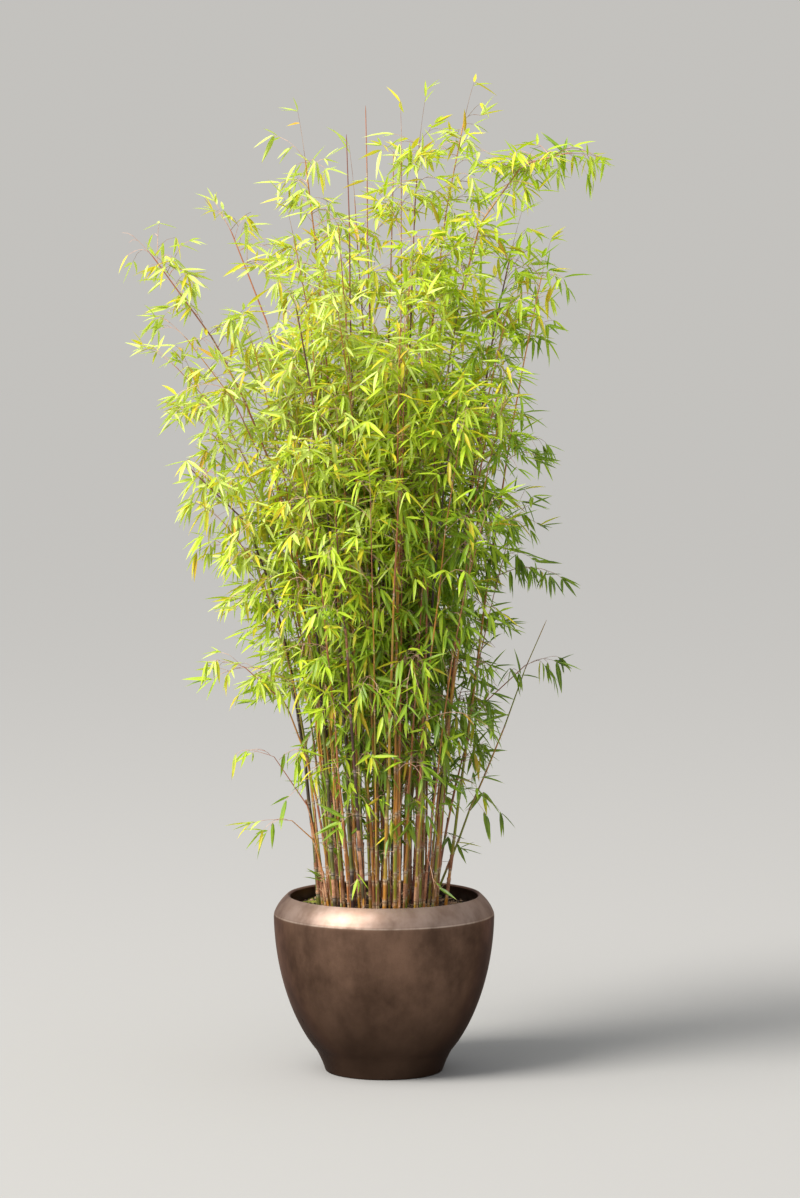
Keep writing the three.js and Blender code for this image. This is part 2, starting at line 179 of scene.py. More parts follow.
# Where the lowest joint is, how much longer each part is than the last, how parts differ, and the bare tip
FIRST_JOINTS, JOINT_GROWTH, JOINT_SPREAD, JOINTLESS_TIP = (12, 34), 1.2, (0.86, 1.14), 70
TURN_SPREAD, FULL_TURN_FROM = 1.5, 300  # how far a cane shifts at a joint, and from how far up in full
# Tones, green at 0 and red at 1: how far the parts of a cane differ, the canes' tones and the whips'
TONE_SPREAD, CANE_TONES, WHIP_TONE = (-0.3, 0.3), (0.02, 0.8), 0.9
CANE_SIDES, YOUNG_SIDES, TWIG_SIDES = 8, 6, 3
# Young canes: how far out their feet are, and the ranges of their thickness, height, lean and shifts
YOUNG_REACH, YOUNG_RADII, SHOOT_RADII = 128, (2.1, 3.4), (2.6, 3.6)
YOUNG_TIPS, YOUNG_SPREADS, YOUNG_SHAKE, YOUNG_TIP_SHAKE = (820, 1640), (1.3, 2.1), (-9, 9), (-45, 45)
# A sheath of unit length: each row's step up and how much wider it is than the last
SHEATH_ROWS = ((0.22, 0.99), (0.3, 0.98), (0.28, 1.02), (0.2, 1.16))
SHEATH_LENGTHS, SHEATH_ROOM, ANY_TURN = (24, 62), 1.1, (0, 6.28)

# Patches of moss on the soil: place and radius
MOSS_PATCHES = [
    (-164, -22, 26), (-146, 42, 30), (-140, -58, 22), (-84, -146, 20), (84, -148, 22), (152, -72, 26),
    (166, 8, 20), (96, 140, 28), (-30, 160, 24), (-128, 108, 26), (-172, 20, 18), (20, -166, 14),
]

# Soil: lumps by size, height and layer of noise, the surface's rings and sides, and how far out litter lies
SOIL_LUMPS = ((46, 1, 0.3), (15, 0.5, 4.1), (5, 0.28, 9.7))
SOIL_RINGS, SOIL_SIDES = 40, 160
LITTER_REACH, MOSS_REACH = 190, 192

# Tables of heights in millimetres and of what holds at each of them
LEAFINESS = ([400, 520, 640, 760, 900, 1150], [0, 0.09, 0.27, 0.52, 0.7, 1])
SHEATH_CHANCE = ([340, 400, 520, 800, 1200], [0.9, 0.5, 0.18, 0.08, 0.03])
STUB_CHANCE = ([400, 800, 1200], [0.5, 0.25, 0])
TWIG_HANGS = ([900, 1700], [1, 0.35])
TWIG_RISES = ([1650, 1850], [1, 0.45])
TIP_RISES = ([1650, 1850], [1, 0.6])
LEAF_FALLS = ([700, 1300, 1750], [0.4, 0.27, 0.16])
BARE_WHIP_TOP = 1650  # above it the whips bear no twigs
SIDE_TWIG_SPACING, MOST_SIDE_TWIGS = 29, 6
SHORT_TWIGS, SIDE_TWIGS, STUBS = (35, 125), (12, 44), (7, 44)  # ranges of their lengths
TWIG_RADII = {"source": 1.1, "finer": 0.8, "stub": 0.75, "leading": 0.7, "tip": 0.6, "side": 0.55}

# A leaf of unit length: its width at places along it, and how steeply its halves fold up. Then half the
# thickness of every leaf in millimetres.
LEAF_ROWS = ((0.1, 0.62), (0.34, 1.0), (0.68, 0.66))
LEAF_FOLD, HALF_THICKNESS = 0.42, 0.34
# How much larger or smaller sprays and leaves are, how much broader leaves are, and how far they bend down
SPRAY_SIZES, LEAF_SIZES, LEAF_BREADTHS, LEAF_BENDS = (0.74, 1.16), (0.76, 1.12), (0.85, 1.15), (-0.02, 0.2)
# The leaves of a short twig: where each stands along it, how far it turns aside, and how often there is one
LEAF_PLACES = [
    (1, 0, 1), (0.98, 0.8, 0.92), (0.93, -0.8, 0.85),
    (0.7, 0.9, 0.5), (0.5, -0.9, 0.35), (0.3, 0.9, 0.15),
]
# Tints from dark to light, the painted lightness at which each begins after the first, and the tints of
# turned leaves. The greens are lit and shaded tints dealt out by painted light and shade, with some random
# spread.
GREENS = ("deep", "shaded", "leafy", "fresh", "lime", "pale")
TINT_STEPS = [0.05, 0.25, 0.45, 0.68, 0.95]
TURNED = ("yellow", "amber")
# How much lighter painted light makes sprays towards the top, the left and the front, at the middle, and low
# at the left
LIGHT_UP, LIGHT_LEFT, LIGHT_FRONT, LIGHT_MIDDLE, LIGHT_LOW_LEFT = 0.76, 0.58, 0.12, 0.54, 0.3
PAST_BOX = 12  # how far leaves may pass the solids' box

# Colours that go with those that the user sets
DRY_TIP, VEIN = (0.60, 0.42, 0.14), (0.55, 0.62, 0.18)
MIDRIB, LIGHT_THROUGH = (0.66, 0.70, 0.24), (0.78, 0.92, 0.12)
LIGHT_BLOOM, LIGHT_SCAR = (0.62, 0.50, 0.34), (0.17, 0.08, 0.045)
DARK_BLOOM, DARK_SCAR = (0.36, 0.30, 0.24), (0.03, 0.018, 0.018)
BARK, PALE_BARK = (0.10, 0.055, 0.035), (0.33, 0.20, 0.12)
STUB, STUB_SHADE = (0.50, 0.34, 0.20), (0.26, 0.14, 0.085)
STRAW_SHADE, MOSS_TIP = (0.30, 0.17, 0.10), (0.33, 0.36, 0.05)
# The twigs' second colour is a painted highlight: its pale clouds on the bark stand in for the twigs' glints
SHEATH_SHADE, PAINTED_TWIG_HIGHLIGHT = (0.22, 0.085, 0.04), (0.50, 0.32, 0.22)
LACQUER_EDGE_ON = (0.30, 0.22, 0.17)
VEIN_TURNS = 44.0  # radians of the veins' wave across a leaf
THROUGH_SHARE = 0.55  # of the light that a leaf lets through
# Dull materials: fineness of their clouds and of their specks, roughness, and depth of the relief in metres
GRAINS = {
    "potting_soil": (60, 480, 0.93, 0.0022),
    "peat_crumbs": (30, 300, 0.92, 0.001),
    "dry_bark": (40, 400, 0.85, 0.0008),
    "dry_straw": (25, 350, 0.7, 0.0005),
    "moss_green": (45, 260, 0.85, 0.001),
    "papery_sheath": (35, 420, 0.62, 0.0006),
    "twig_bark": (22, 200, 0.6, 0.0004),
    "dry_twig": (25, 350, 0.7, 0.0004),
}
COLOUR, NUMBER = "NodeSocketColor", "NodeSocketFloat"

# The stage, in metres and degrees
FLOOR_RADIUS = 60
CAMERA_PLACE, CAMERA_DOWN, FARTHEST_SEEN = (0.0325, -8.089, 1.567), 4.26, 200
KEY_FROM, KEY_WIDTH, KEY_TINT = (-0.62, -0.42, 0.66), 28, (1.0, 0.975, 0.93)
SIDE_PLACE, SIDE_AIM, SIDE_SIZE, SIDE_TINT = (-3.2, -2.4, 7.3), (0, 0, 0.4), 5.5, (1.0, 0.97, 0.94)

# Seeds of the random numbers. Those of the clump and of the masses are the source's.
CLUMP_SEED, MASS_SEED = 41, 100
SEEDS = {
    "soil": 3, "litter": 7, "culms": 19, "tones": 23, "sheaths": 29,
    "twigs": 31, "side twigs": 37, "leaves": 43, "stubs": 53,
}


def random_for(what):
    return np.random.default_rng(SEEDS[what])


def at_height(height, table):
    """What a table of heights says for one height or many."""
    return np.interp(height, *table)


def between(low, high, share):
    return low + (high - low) * share


# The user's sizes and colours


def colour(name, text, value):
    return FloatVectorProperty(
        name=name, description=text, subtype="COLOR", size=3, min=0, max=1, default=value
    )


def metres(name, text, value):
    return FloatProperty(name=name, description=text, default=value, unit="LENGTH")


def amount(name, text, value, least=0):
    return FloatProperty(name=name, description=text, default=value, min=least)


def tally(name, text, value, least=0, most=10_000):
    return IntProperty(name=name, description=text, default=value, min=least, max=most)


class PlanterSettings(bpy.types.PropertyGroup):
    """Sizes and colours of the planter."""

    sides: tally("Sides", "Faces round the planter", 128, 24, 256)
    lip: metres("Lip rounding", "Radius of the rounded lip", 0.003)
    dark: colour("Dark lacquer", "Colour of the darker clouds", (0.052, 0.029, 0.019))
    light: colour("Light lacquer", "Colour of the lighter clouds", (0.19, 0.112, 0.076))
    # Painted shade: the colour that the lacquer darkens to towards the foot
    foot: colour("Foot", "Colour towards the foot", (0.036, 0.021, 0.014))
    # Painted highlight: the paler colour of the band above the crease
    band_highlight: colour("Band", "Colour of the band above the crease", (0.27, 0.205, 0.172))
    # Painted highlight: the colour of the light line along the crease of the shoulder
    edge: colour("Worn edge", "Colour along the crease of the shoulder", (0.40, 0.31, 0.25))


class SoilSettings(bpy.types.PropertyGroup):
    """The soil and what lies on it."""

    relief: metres("Relief", "Height of the soil's lumps", 0.0045)
    crumbs: tally("Crumbs", "Loose lumps on the soil", 1300)
    chips: tally("Bark chips", "Chips of bark on the soil", 150)
    straws: tally("Straws", "Dry stalks on the soil", 210)
    sprigs: tally("Moss sprigs", "Sprigs in each patch of moss", 460)
    earth: colour("Earth", "Colour of the soil", (0.016, 0.011, 0.008))
    crumb: colour("Crumb", "Colour of the lighter crumbs", (0.060, 0.036, 0.023))
    moss: colour("Moss", "Colour of the moss", (0.10, 0.135, 0.018))
    straw: colour("Straw", "Colour of the dry stalks", (0.42, 0.28, 0.165))


class CaneSettings(bpy.types.PropertyGroup):
    """The canes with their joints and sheaths."""

    young: tally("Young canes", "Thin canes between the others", 34)
    first_joint: metres("First joint", "Length of the lowest joint", 0.050)
    longest_joint: metres("Longest joint", "Length of the longest joint", 0.138)
    olive: colour("Olive", "Green side of the light canes", (0.19, 0.22, 0.014))
    ochre: colour("Ochre", "Middle tone of the light canes", (0.42, 0.175, 0.02))
    rust: colour("Rust", "Red side of the light canes", (0.31, 0.10, 0.045))
    plum: colour("Plum", "Red side of the dark canes", (0.19, 0.06, 0.045))
    night: colour("Night", "Middle tone of the dark canes", (0.045, 0.022, 0.018))
    moss: colour("Dark olive", "Green side of the dark canes", (0.12, 0.13, 0.015))
    sheath: colour("Sheath", "Colour of the papery sheaths", (0.50, 0.27, 0.15))


class FoliageSettings(bpy.types.PropertyGroup):
    """Twigs and leaves."""

    leaf_length: metres("Leaf length", "Of a usual leaf", 0.053)
    leaf_width: metres("Leaf width", "Of a usual leaf", 0.0077)
    companions: tally("Companions", "Finer twigs beside each of the source's twigs", 3)
    twig: colour("Twig", "Colour of the twigs", (0.24, 0.105, 0.07))
    amber: colour("Amber", "Leaves about to fall", (0.66, 0.36, 0.035))
    yellow: colour("Yellow", "Turning leaves", (0.76, 0.60, 0.03))
    # The greens from pale to deep are lit and shaded tints, dealt out to the leaves by painted light and
    # shade
    pale: colour("Pale", "The palest leaves", (0.66, 0.72, 0.24))
    lime: colour("Lime", "Leaves in full light", (0.58, 0.67, 0.045))
    fresh: colour("Fresh", "Usual leaves", (0.44, 0.585, 0.028))
    leafy: colour("Leaf green", "Leaves a little shaded", (0.235, 0.39, 0.02))
    shaded: colour("Shaded", "Leaves further in", (0.125, 0.25, 0.016))
    deep: colour("Deep green", "The darkest leaves", (0.055, 0.135, 0.013))


class StageSettings(bpy.types.PropertyGroup):
    """The floor, the lights and the camera."""

    floor: colour("Floor", "Colour of the plain floor", (0.262, 0.258, 0.25))
    air: colour("Air", "Colour of the light all round", (0.95, 0.97, 1.0))
    backdrop: colour("Backdrop", "Colour behind the floor, like the floor's far side", (0.548, 0.537, 0.514))
    key: amount("Key light", "Strength of the main light", 5.6)
    fill: amount("Fill", "Strength of the light all round", 0.96)
    side: amount("Side light", "Power of the light at the left in watts", 560)
    lens: amount("Lens", "Focal length in millimetres", 120.2, 1)


# Modelling by operators


def deselect_all():
    for piece in list(bpy.context.selected_objects):
        piece.select_set(False)


def edit_mode(on, select="VERT"):
    bpy.ops.object.mode_set(mode="EDIT" if on else "OBJECT")
    if on:
        bpy.ops.mesh.select_mode(type=select)


def apply_place():
    bpy.ops.object.transform_apply(location=True, rotation=True, scale=True)


def open_whole():
    """Edit mode with all of the new shape selected."""
    apply_place()
    edit_mode(True)
    bpy.ops.mesh.select_all(action="SELECT")


def extrude(step):
    bpy.ops.mesh.extrude_region_move(TRANSFORM_OT_translate={"value": step})


def close_outwards():
    """Turns all faces outwards and leaves edit mode."""
    bpy.ops.mesh.select_all(action="SELECT")
    bpy.ops.mesh.normals_make_consistent(inside=False)
    edit_mode(False)


def turned(name, outline, sides):
    """Extrudes a disc along an outline of (radius, height) points, the last of which is on the axis."""
    deselect_all()
    radius, height = outline[0]
    bpy.ops.mesh.primitive_circle_add(vertices=sides, radius=radius * MM, location=(0, 0, height * MM))
    piece = bpy.context.object
    piece.name = piece.data.name = name
    open_whole()
    bpy.ops.mesh.edge_face_add()
    for next_radius, next_height in outline[1:]:
        extrude((0, 0, (next_height - height) * MM))
        if next_radius:
            ratio = next_radius / radius
            bpy.ops.transform.resize(value=(ratio, ratio, 1), center_override=(0, 0, next_height * MM))
            radius, height = next_radius, next_height
        else:
            bpy.ops.mesh.merge(type="CENTER")
    close_outwards()
    return piece


def finished(piece, material, slot, replaced=(), degrees=35):
    """Gives a piece its finish and its place in the frame. Edges sharper than degrees stay sharp."""
    triangles = sum(len(face.vertices) - 2 for face in piece.data.polygons)
    if triangles >= MOST_TRIANGLES:
        raise RuntimeError(f"{piece.name} has {triangles} triangles")
    piece.data.materials.clear()
    piece.data.materials.append(material)
    deselect_all()
    piece.select_set(True)
    bpy.context.view_layer.objects.active = piece
    bpy.ops.object.shade_smooth_by_angle(angle=math.radians(degrees))
    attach(piece, "root")
    if replaced:
        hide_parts(*replaced)


def pattern_from(piece):
    """The corners and faces of a shape that will be copied many times. Removes the shape itself."""
    mesh = piece.data
    points = np.array([vertex.co for vertex in mesh.vertices])
    corners = np.array([v for face in mesh.polygons for v in face.vertices])
    sizes = np.array([len(face.vertices) for face in mesh.polygons])
    bpy.data.objects.remove(piece)
    bpy.data.meshes.remove(mesh)
    return points, corners, sizes


# Meshes from arrays


@functools.lru_cache(maxsize=None)
def tube_faces(rows, sides):
    """Faces of a closed tube, its corners counted row by row."""
    after = [(k + 1) % sides for k in range(sides)]
    walls = [
        (row * sides + k, row * sides + after[k], (row + 1) * sides + after[k], (row + 1) * sides + k)
        for row in range(rows - 1)
        for k in range(sides)
    ]
    ends = [tuple(reversed(range(sides))), tuple((rows - 1) * sides + k for k in range(sides))]
    faces = walls + ends
    return np.array([v for face in faces for v in face]), np.array([len(face) for face in faces])


def tubes(lines, radii, sides):
    """Closed tubes as a batch. lines is an array of tubes by rows by 3, and radii one of tubes by rows."""
    along = np.gradient(lines, axis=1)
    along /= np.linalg.norm(along, axis=2, keepdims=True)
    whole_way = np.abs(lines[:, -1] - lines[:, 0])
    reference = np.eye(3)[np.argmin(whole_way, axis=1)][:, None, :]
    across = np.cross(reference, along)
    across /= np.linalg.norm(across, axis=2, keepdims=True)
    up = np.cross(along, across)
    angles = np.arange(sides) * 2 * math.pi / sides
    circle = across[:, :, None] * np.cos(angles)[:, None] + up[:, :, None] * np.sin(angles)[:, None]
    points = lines[:, :, None] + circle * radii[:, :, None, None]
    return copies(points.reshape(len(lines), -1, 3), tube_faces(lines.shape[1], sides))


def copies(points, faces):
    """Many like shapes as a batch: points is an array of shapes by corners by 3, faces those of one shape."""
    corners, sizes = faces
    shift = np.repeat(np.arange(len(points)) * points.shape[1], len(corners))
    return points.reshape(-1, 3), np.tile(corners, len(points)) + shift, np.tile(sizes, len(points))


def gathered(name, batches, values=None, uv=None):
    """One piece from batches of shapes in millimetres, with values and uv at each of its points."""
    points = np.concatenate([batch[0] for batch in batches]) * MM
    starts = np.cumsum([0] + [len(batch[0]) for batch in batches[:-1]])
    corners = np.concatenate([batch[1] + start for batch, start in zip(batches, starts)])
    sizes = np.concatenate([batch[2] for batch in batches])
    mesh = bpy.data.meshes.new(name)
    mesh.vertices.add(len(points))
    mesh.vertices.foreach_set("co", points.astype(np.float32).ravel())
    mesh.loops.add(len(corners))
    mesh.loops.foreach_set("vertex_index", corners.astype(np.int32))
    mesh.polygons.add(len(sizes))
    mesh.polygons.foreach_set("loop_start", (np.cumsum(sizes) - sizes).astype(np.int32))
    mesh.update(calc_edges=True)
    for key, numbers in (values or {}).items():
        mesh.attributes.new(key, "FLOAT", "POINT").data.foreach_set("value", numbers.astype(np.float32))
    if uv is not None:
        mesh.uv_layers.new(name="UVMap").data.foreach_set("uv", uv[corners].astype(np.float32).ravel())
    if mesh.validate():
        raise RuntimeError(f"{name} has faulty faces")
    piece = bpy.data.objects.new(name, mesh)
    bpy.context.scene.collection.objects.link(piece)
    return piece


def turned_frames(rng, count):
    """Random turns as rows of three axes."""
    frames = np.linalg.qr(rng.normal(size=(count, 3, 3)))[0]
    return frames * np.sign(np.linalg.det(frames))[:, None, None]


# Materials


def rgba(value):
    return (*tuple(value)[:3], 1.0)


class Nodes:
    """A node tree that is filled by name."""

    def __init__(self, tree):
        self.tree = tree

    def add(self, kind, inputs=None, **settings):
        node = self.tree.nodes.new(kind)
        for key, value in settings.items():
            setattr(node, key, value)
        for key, value in (inputs or {}).items():
            if isinstance(value, bpy.types.NodeSocket):
                self.tree.links.new(value, node.inputs[key])
            else:
                node.inputs[key].default_value = value
        return node

    def math(self, operation, a, b=0.0):
        return self.add("ShaderNodeMath", {0: a, 1: b}, operation=operation).outputs[0]

    def times(self, a, b):
        return self.math("MULTIPLY", a, b)

    def plus(self, a, b):
        return self.math("ADD", a, b)

    def gap(self, a, b):
        return self.math("ABSOLUTE", self.math("SUBTRACT", a, b))

    def mix(self, factor, a, b):
        """Colour a, or b where the factor is one."""
        pair = [value if isinstance(value, bpy.types.NodeSocket) else rgba(value) for value in (a, b)]
        return self.add("ShaderNodeMix", {0: factor, 6: pair[0], 7: pair[1]}, data_type="RGBA").outputs[2]

    def span(self, value, low, high, to_low=0.0, to_high=1.0):
        """A smooth step of the value from low to high."""
        inputs = {"Value": value, "From Min": low, "From Max": high, "To Min": to_low, "To Max": to_high}
        return self.add("ShaderNodeMapRange", inputs, interpolation_type="SMOOTHSTEP").outputs[0]

    def noise(self, vector, scale, detail=3.0, roughness=0.5):
        inputs = {"Vector": vector, "Scale": scale, "Detail": detail, "Roughness": roughness}
        return self.add("ShaderNodeTexNoise", inputs).outputs[0]

    def place(self, scale=(1, 1, 1)):
        """The place on the piece, stretched by scale."""
        here = self.add("ShaderNodeTexCoord").outputs["Object"]
        return self.add("ShaderNodeMapping", {"Vector": here, "Scale": scale}).outputs[0]

    def attribute(self, name):
        return self.add("ShaderNodeAttribute", attribute_name=name).outputs["Fac"]

    def axes(self, vector):
        return self.add("ShaderNodeSeparateXYZ", {0: vector}).outputs

    def bump(self, height, strength, distance, **others):
        inputs = {"Height": height, "Strength": strength, "Distance": distance, **others}
        return self.add("ShaderNodeBump", inputs).outputs[0]

    def principled(self, tone, roughness, specular=0.5, **others):
        """A surface shader. Others are its further inputs, with a low line for each gap in their names."""
        inputs = {"Base Color": tone, "Roughness": roughness, "Specular IOR Level": specular}
        inputs.update({key.replace("_", " "): value for key, value in others.items()})
        return self.add("ShaderNodeBsdfPrincipled", inputs).outputs[0]

    def surface(self, shader):
        self.add("ShaderNodeOutputMaterial", {"Surface": shader})

    def use(self, group, **inputs):
        """Places a group and sets its inputs."""
        node = self.add("ShaderNodeGroup", node_tree=group)
        for key, value in inputs.items():
            node.inputs[key].default_value = value
        return node.outputs

    def put_out(self, **values):
        """Links a group's outputs and returns the group."""
        self.add("NodeGroupOutput", values)
        return self.tree


def new_material(name):
    material = bpy.data.materials.new(name)
    material.use_nodes = True
    material.node_tree.nodes.clear()
    return material, Nodes(material.node_tree)


def new_group(name, inputs, outputs):
    """A shader node group with named colour and number sockets, and its nodes."""
    tree = bpy.data.node_groups.new(name, "ShaderNodeTree")
    for side, sockets in (("INPUT", inputs), ("OUTPUT", outputs)):
        for key, kind in sockets.items():
            tree.interface.new_socket(key, in_out=side, socket_type=kind)
    nodes = Nodes(tree)
    return nodes, nodes.add("NodeGroupInput").outputs


@functools.lru_cache(maxsize=None)
def blade_group():
    """The skin of a leaf: veins along it, a paler midrib, a dry tip and patches of another tone."""
    nodes, given = new_group(
        "Leaf blade",
        {"Blade": COLOUR, "Patch": COLOUR, "Dry": COLOUR},
        {"Color": COLOUR, "Through": COLOUR, "Shine": NUMBER, "Height": NUMBER},
    )
    uv = nodes.axes(nodes.add("ShaderNodeUVMap", uv_map="UVMap").outputs[0])
    across, along = uv[0], uv[1]
    here = nodes.place()
    patches = nodes.span(nodes.noise(here, 26.0, 2.0), 0.38, 0.64)
    veins = nodes.span(nodes.math("SINE", nodes.times(across, VEIN_TURNS)), -1.0, 1.0)
    rib = nodes.span(nodes.gap(across, 0.5), 0.075, 0.02)
    dry = nodes.times(nodes.span(along, 0.84, 1.0), nodes.span(nodes.noise(here, 60.0, 1.0), 0.45, 0.7))
    skin = nodes.mix(patches, given["Blade"], given["Patch"])
    skin = nodes.mix(nodes.times(veins, 0.1), skin, VEIN)
    skin = nodes.mix(nodes.times(rib, 0.45), skin, MIDRIB)
    skin = nodes.mix(dry, skin, given["Dry"])
    through = nodes.mix(0.55, skin, LIGHT_THROUGH)
    shine = nodes.span(veins, 0.0, 1.0, 0.32, 0.46)
    return nodes.put_out(Color=skin, Through=through, Shine=shine, Height=veins)


def leaf_material(name, blade, patch):
    material, nodes = new_material(name)
    skin = nodes.use(blade_group(), Blade=rgba(blade), Patch=rgba(patch), Dry=rgba(DRY_TIP))
    relief = nodes.bump(skin["Height"], 0.12, 0.0003)
    front = nodes.principled(skin["Color"], skin["Shine"], 0.42, Normal=relief)
    behind = nodes.add("ShaderNodeBsdfTranslucent", {"Color": skin["Through"]}).outputs[0]
    nodes.surface(nodes.add("ShaderNodeMixShader", {0: THROUGH_SHARE, 1: front, 2: behind}).outputs[0])
    return material


@functools.lru_cache(maxsize=None)
def cane_group():
    """The skin of a cane: a tone for each joint, blotches, streaks, and pale and dark rings at its joints."""
    nodes, given = new_group(
        "Cane skin",
        {"Green": COLOUR, "Middle": COLOUR, "Red": COLOUR, "Bloom": COLOUR, "Scar": COLOUR},
        {"Color": COLOUR, "Shine": NUMBER, "Height": NUMBER},
    )
    tone, ring = nodes.attribute("tone"), nodes.attribute("ring")
    streaks = nodes.noise(nodes.place((420, 420, 9)), 1.0, 4.0, 0.6)
    clouds = nodes.noise(nodes.place((60, 60, 14)), 1.0, 2.0)
    blotches = nodes.noise(nodes.place((90, 90, 24)), 1.0, 3.0, 0.6)
    shifted = nodes.plus(tone, nodes.times(nodes.math("SUBTRACT", clouds, 0.5), 0.75))
    skin = nodes.mix(nodes.span(shifted, 0.05, 0.5), given["Green"], given["Middle"])
    skin = nodes.mix(nodes.span(shifted, 0.5, 0.95), skin, given["Red"])
    for mask, low, high, most, over in (
        (blotches, 0.5, 0.68, 0.7, "Scar"),
        (streaks, 0.45, 0.75, 0.5, "Scar"),
        (ring, 0.05, 0.35, 0.42, "Bloom"),
        (ring, 0.4, 0.72, 0.85, "Scar"),
        (ring, 0.8, 1.0, 0.75, "Bloom"),
    ):
        skin = nodes.mix(nodes.span(mask, low, high, 0.0, most), skin, given[over])
    shine = nodes.span(streaks, 0.3, 0.7, 0.28, 0.5)
    return nodes.put_out(Color=skin, Shine=shine, Height=streaks)


def cane_material(name, green, middle, red, bloom, scar):
    material, nodes = new_material(name)
    tones = {"Green": green, "Middle": middle, "Red": red, "Bloom": bloom, "Scar": scar}
    skin = nodes.use(cane_group(), **{key: rgba(value) for key, value in tones.items()})
    relief = nodes.bump(skin["Height"], 0.3, 0.0004)
    nodes.surface(nodes.principled(skin["Color"], skin["Shine"], Normal=relief))
    return material


@functools.lru_cache(maxsize=None)
def mottled_group():
    """Two colours in clouds of one size, with finer specks, for dull natural surfaces."""
    nodes, given = new_group(
        "Mottled",
        {"First": COLOUR, "Second": COLOUR, "Cloud": NUMBER, "Speck": NUMBER},
        {"Color": COLOUR, "Height": NUMBER},
    )
    here = nodes.place()
    clouds = nodes.noise(here, given["Cloud"], 3.0)
    specks = nodes.noise(here, given["Speck"], 4.0, 0.65)
    both = nodes.plus(nodes.times(clouds, 0.55), nodes.times(specks, 0.45))
    tone = nodes.mix(nodes.span(both, 0.36, 0.62), given["First"], given["Second"])
    return nodes.put_out(Color=tone, Height=specks)


def mottled_material(name, first, second):
    """A dull material in two colours, with the grain that GRAINS gives its name."""
    cloud, speck, roughness, depth = GRAINS[name]
    material, nodes = new_material(name)
    skin = nodes.use(mottled_group(), First=rgba(first), Second=rgba(second), Cloud=cloud, Speck=speck)
    relief = nodes.bump(skin["Height"], 0.6, depth)
    nodes.surface(nodes.principled(skin["Color"], roughness, 0.25, Normal=relief))
    return material


def lacquer_material(settings):
    """Bronze lacquer: clouds and fine grains, painted shade that darkens it towards the foot, a paler band
    above the crease as a painted highlight, and a light line along the crease as a painted highlight.
    """
    material, nodes = new_material("bronze_lacquer")
    clouds = nodes.noise(nodes.place((1, 1, 0.8)), 7.0, 6.0, 0.62)
    wipes_and_sheen = nodes.noise(nodes.place((1, 1, 0.7)), 22.0, 5.0, 0.6)
    both = nodes.plus(nodes.times(clouds, 0.7), nodes.times(wipes_and_sheen, 0.3))
    grains = nodes.noise(nodes.place(), 420.0, 2.0, 0.6)
    height = nodes.axes(nodes.place())[2]
    level = nodes.place((1, 1, 0))
    from_axis = nodes.add("ShaderNodeVectorMath", {0: level}, operation="LENGTH").outputs["Value"]
    outside = nodes.span(from_axis, (OPENING_RADIUS + 1) * MM, (OPENING_RADIUS + 5) * MM)
    above_crease = nodes.span(height, (SHOULDER_HEIGHT - 1) * MM, (SHOULDER_HEIGHT + 3) * MM)
    from_crease = nodes.gap(height, (SHOULDER_HEIGHT - 0.5) * MM)
    # Painted highlight: the band above the crease turns paler in patches, and rougher
    band_highlight = nodes.times(nodes.times(above_crease, outside), nodes.span(wipes_and_sheen, 0.3, 0.7, 0.25, 0.7))
    # Painted highlight: a light line along the crease
    crease_highlight_mask = nodes.times(nodes.span(from_crease, 0.0024, 0.0006), nodes.span(wipes_and_sheen, 0.3, 0.6, 0.15, 0.7))
    skin = nodes.mix(nodes.span(both, 0.3, 0.72), settings.dark, settings.light)
    skin = nodes.mix(nodes.span(grains, 0.58, 0.75, 0.0, 0.25), skin, settings.dark)
    # Painted shade: darker towards the foot
    skin = nodes.mix(nodes.span(height, 0.27, 0.03, 0.0, 0.8), skin, settings.foot)
    skin = nodes.mix(band_highlight, skin, settings.band_highlight)
    skin = nodes.mix(crease_highlight_mask, skin, settings.edge)
    roughness = nodes.plus(nodes.span(both, 0.34, 0.66, 0.44, 0.36), nodes.times(band_highlight, 0.14))
    relief = nodes.bump(grains, 0.12, 0.0004, Normal=nodes.bump(both, 0.12, 0.004))
    edge_on = rgba(LACQUER_EDGE_ON)
    nodes.surface(nodes.principled(skin, roughness, Normal=relief, Metallic=0.75, Specular_Tint=edge_on))
    return material


# The planter and the soil


def bezier(corners, steps):
    """Points along the curve that is drawn towards its inner corners, without the first one."""
    points = []
    for k in range(1, steps + 1):
        row = np.array(corners, float)
        while len(row) > 1:
            row = row[:-1] + (row[1:] - row[:-1]) * k / steps
        points.append((float(row[0][0]), float(row[0][1])))
    return points


def outer_profile(lip):
    """The planter's outside from its foot up to the lip, and over it."""
    foot = (FOOT_RADIUS - 2.5, 0)
    ankle = (FOOT_RADIUS + 1.6, 4)
    side = (POT_RADIUS, SHOULDER_HEIGHT - 8)
    crease = (POT_RADIUS - 3, SHOULDER_HEIGHT + 5)
    top = (OPENING_RADIUS + 6, POT_HEIGHT - 0.3)
    return [
        foot,
        *bezier([foot, (FOOT_RADIUS + 1, 0.2), ankle], 4),
        *bezier([ankle, (FOOT_RADIUS + 8, 24), WAIST], 7),
        *bezier([WAIST, *BELLY, side], 26),
        *bezier([side, (POT_RADIUS, SHOULDER_HEIGHT), crease], 6),
        *bezier([crease, (POT_RADIUS - 10, SHOULDER_HEIGHT + 22), top], 12),
        *bezier([top, (OPENING_RADIUS + lip, POT_HEIGHT + 0.2), (OPENING_RADIUS, POT_HEIGHT - lip)], 5),
    ]


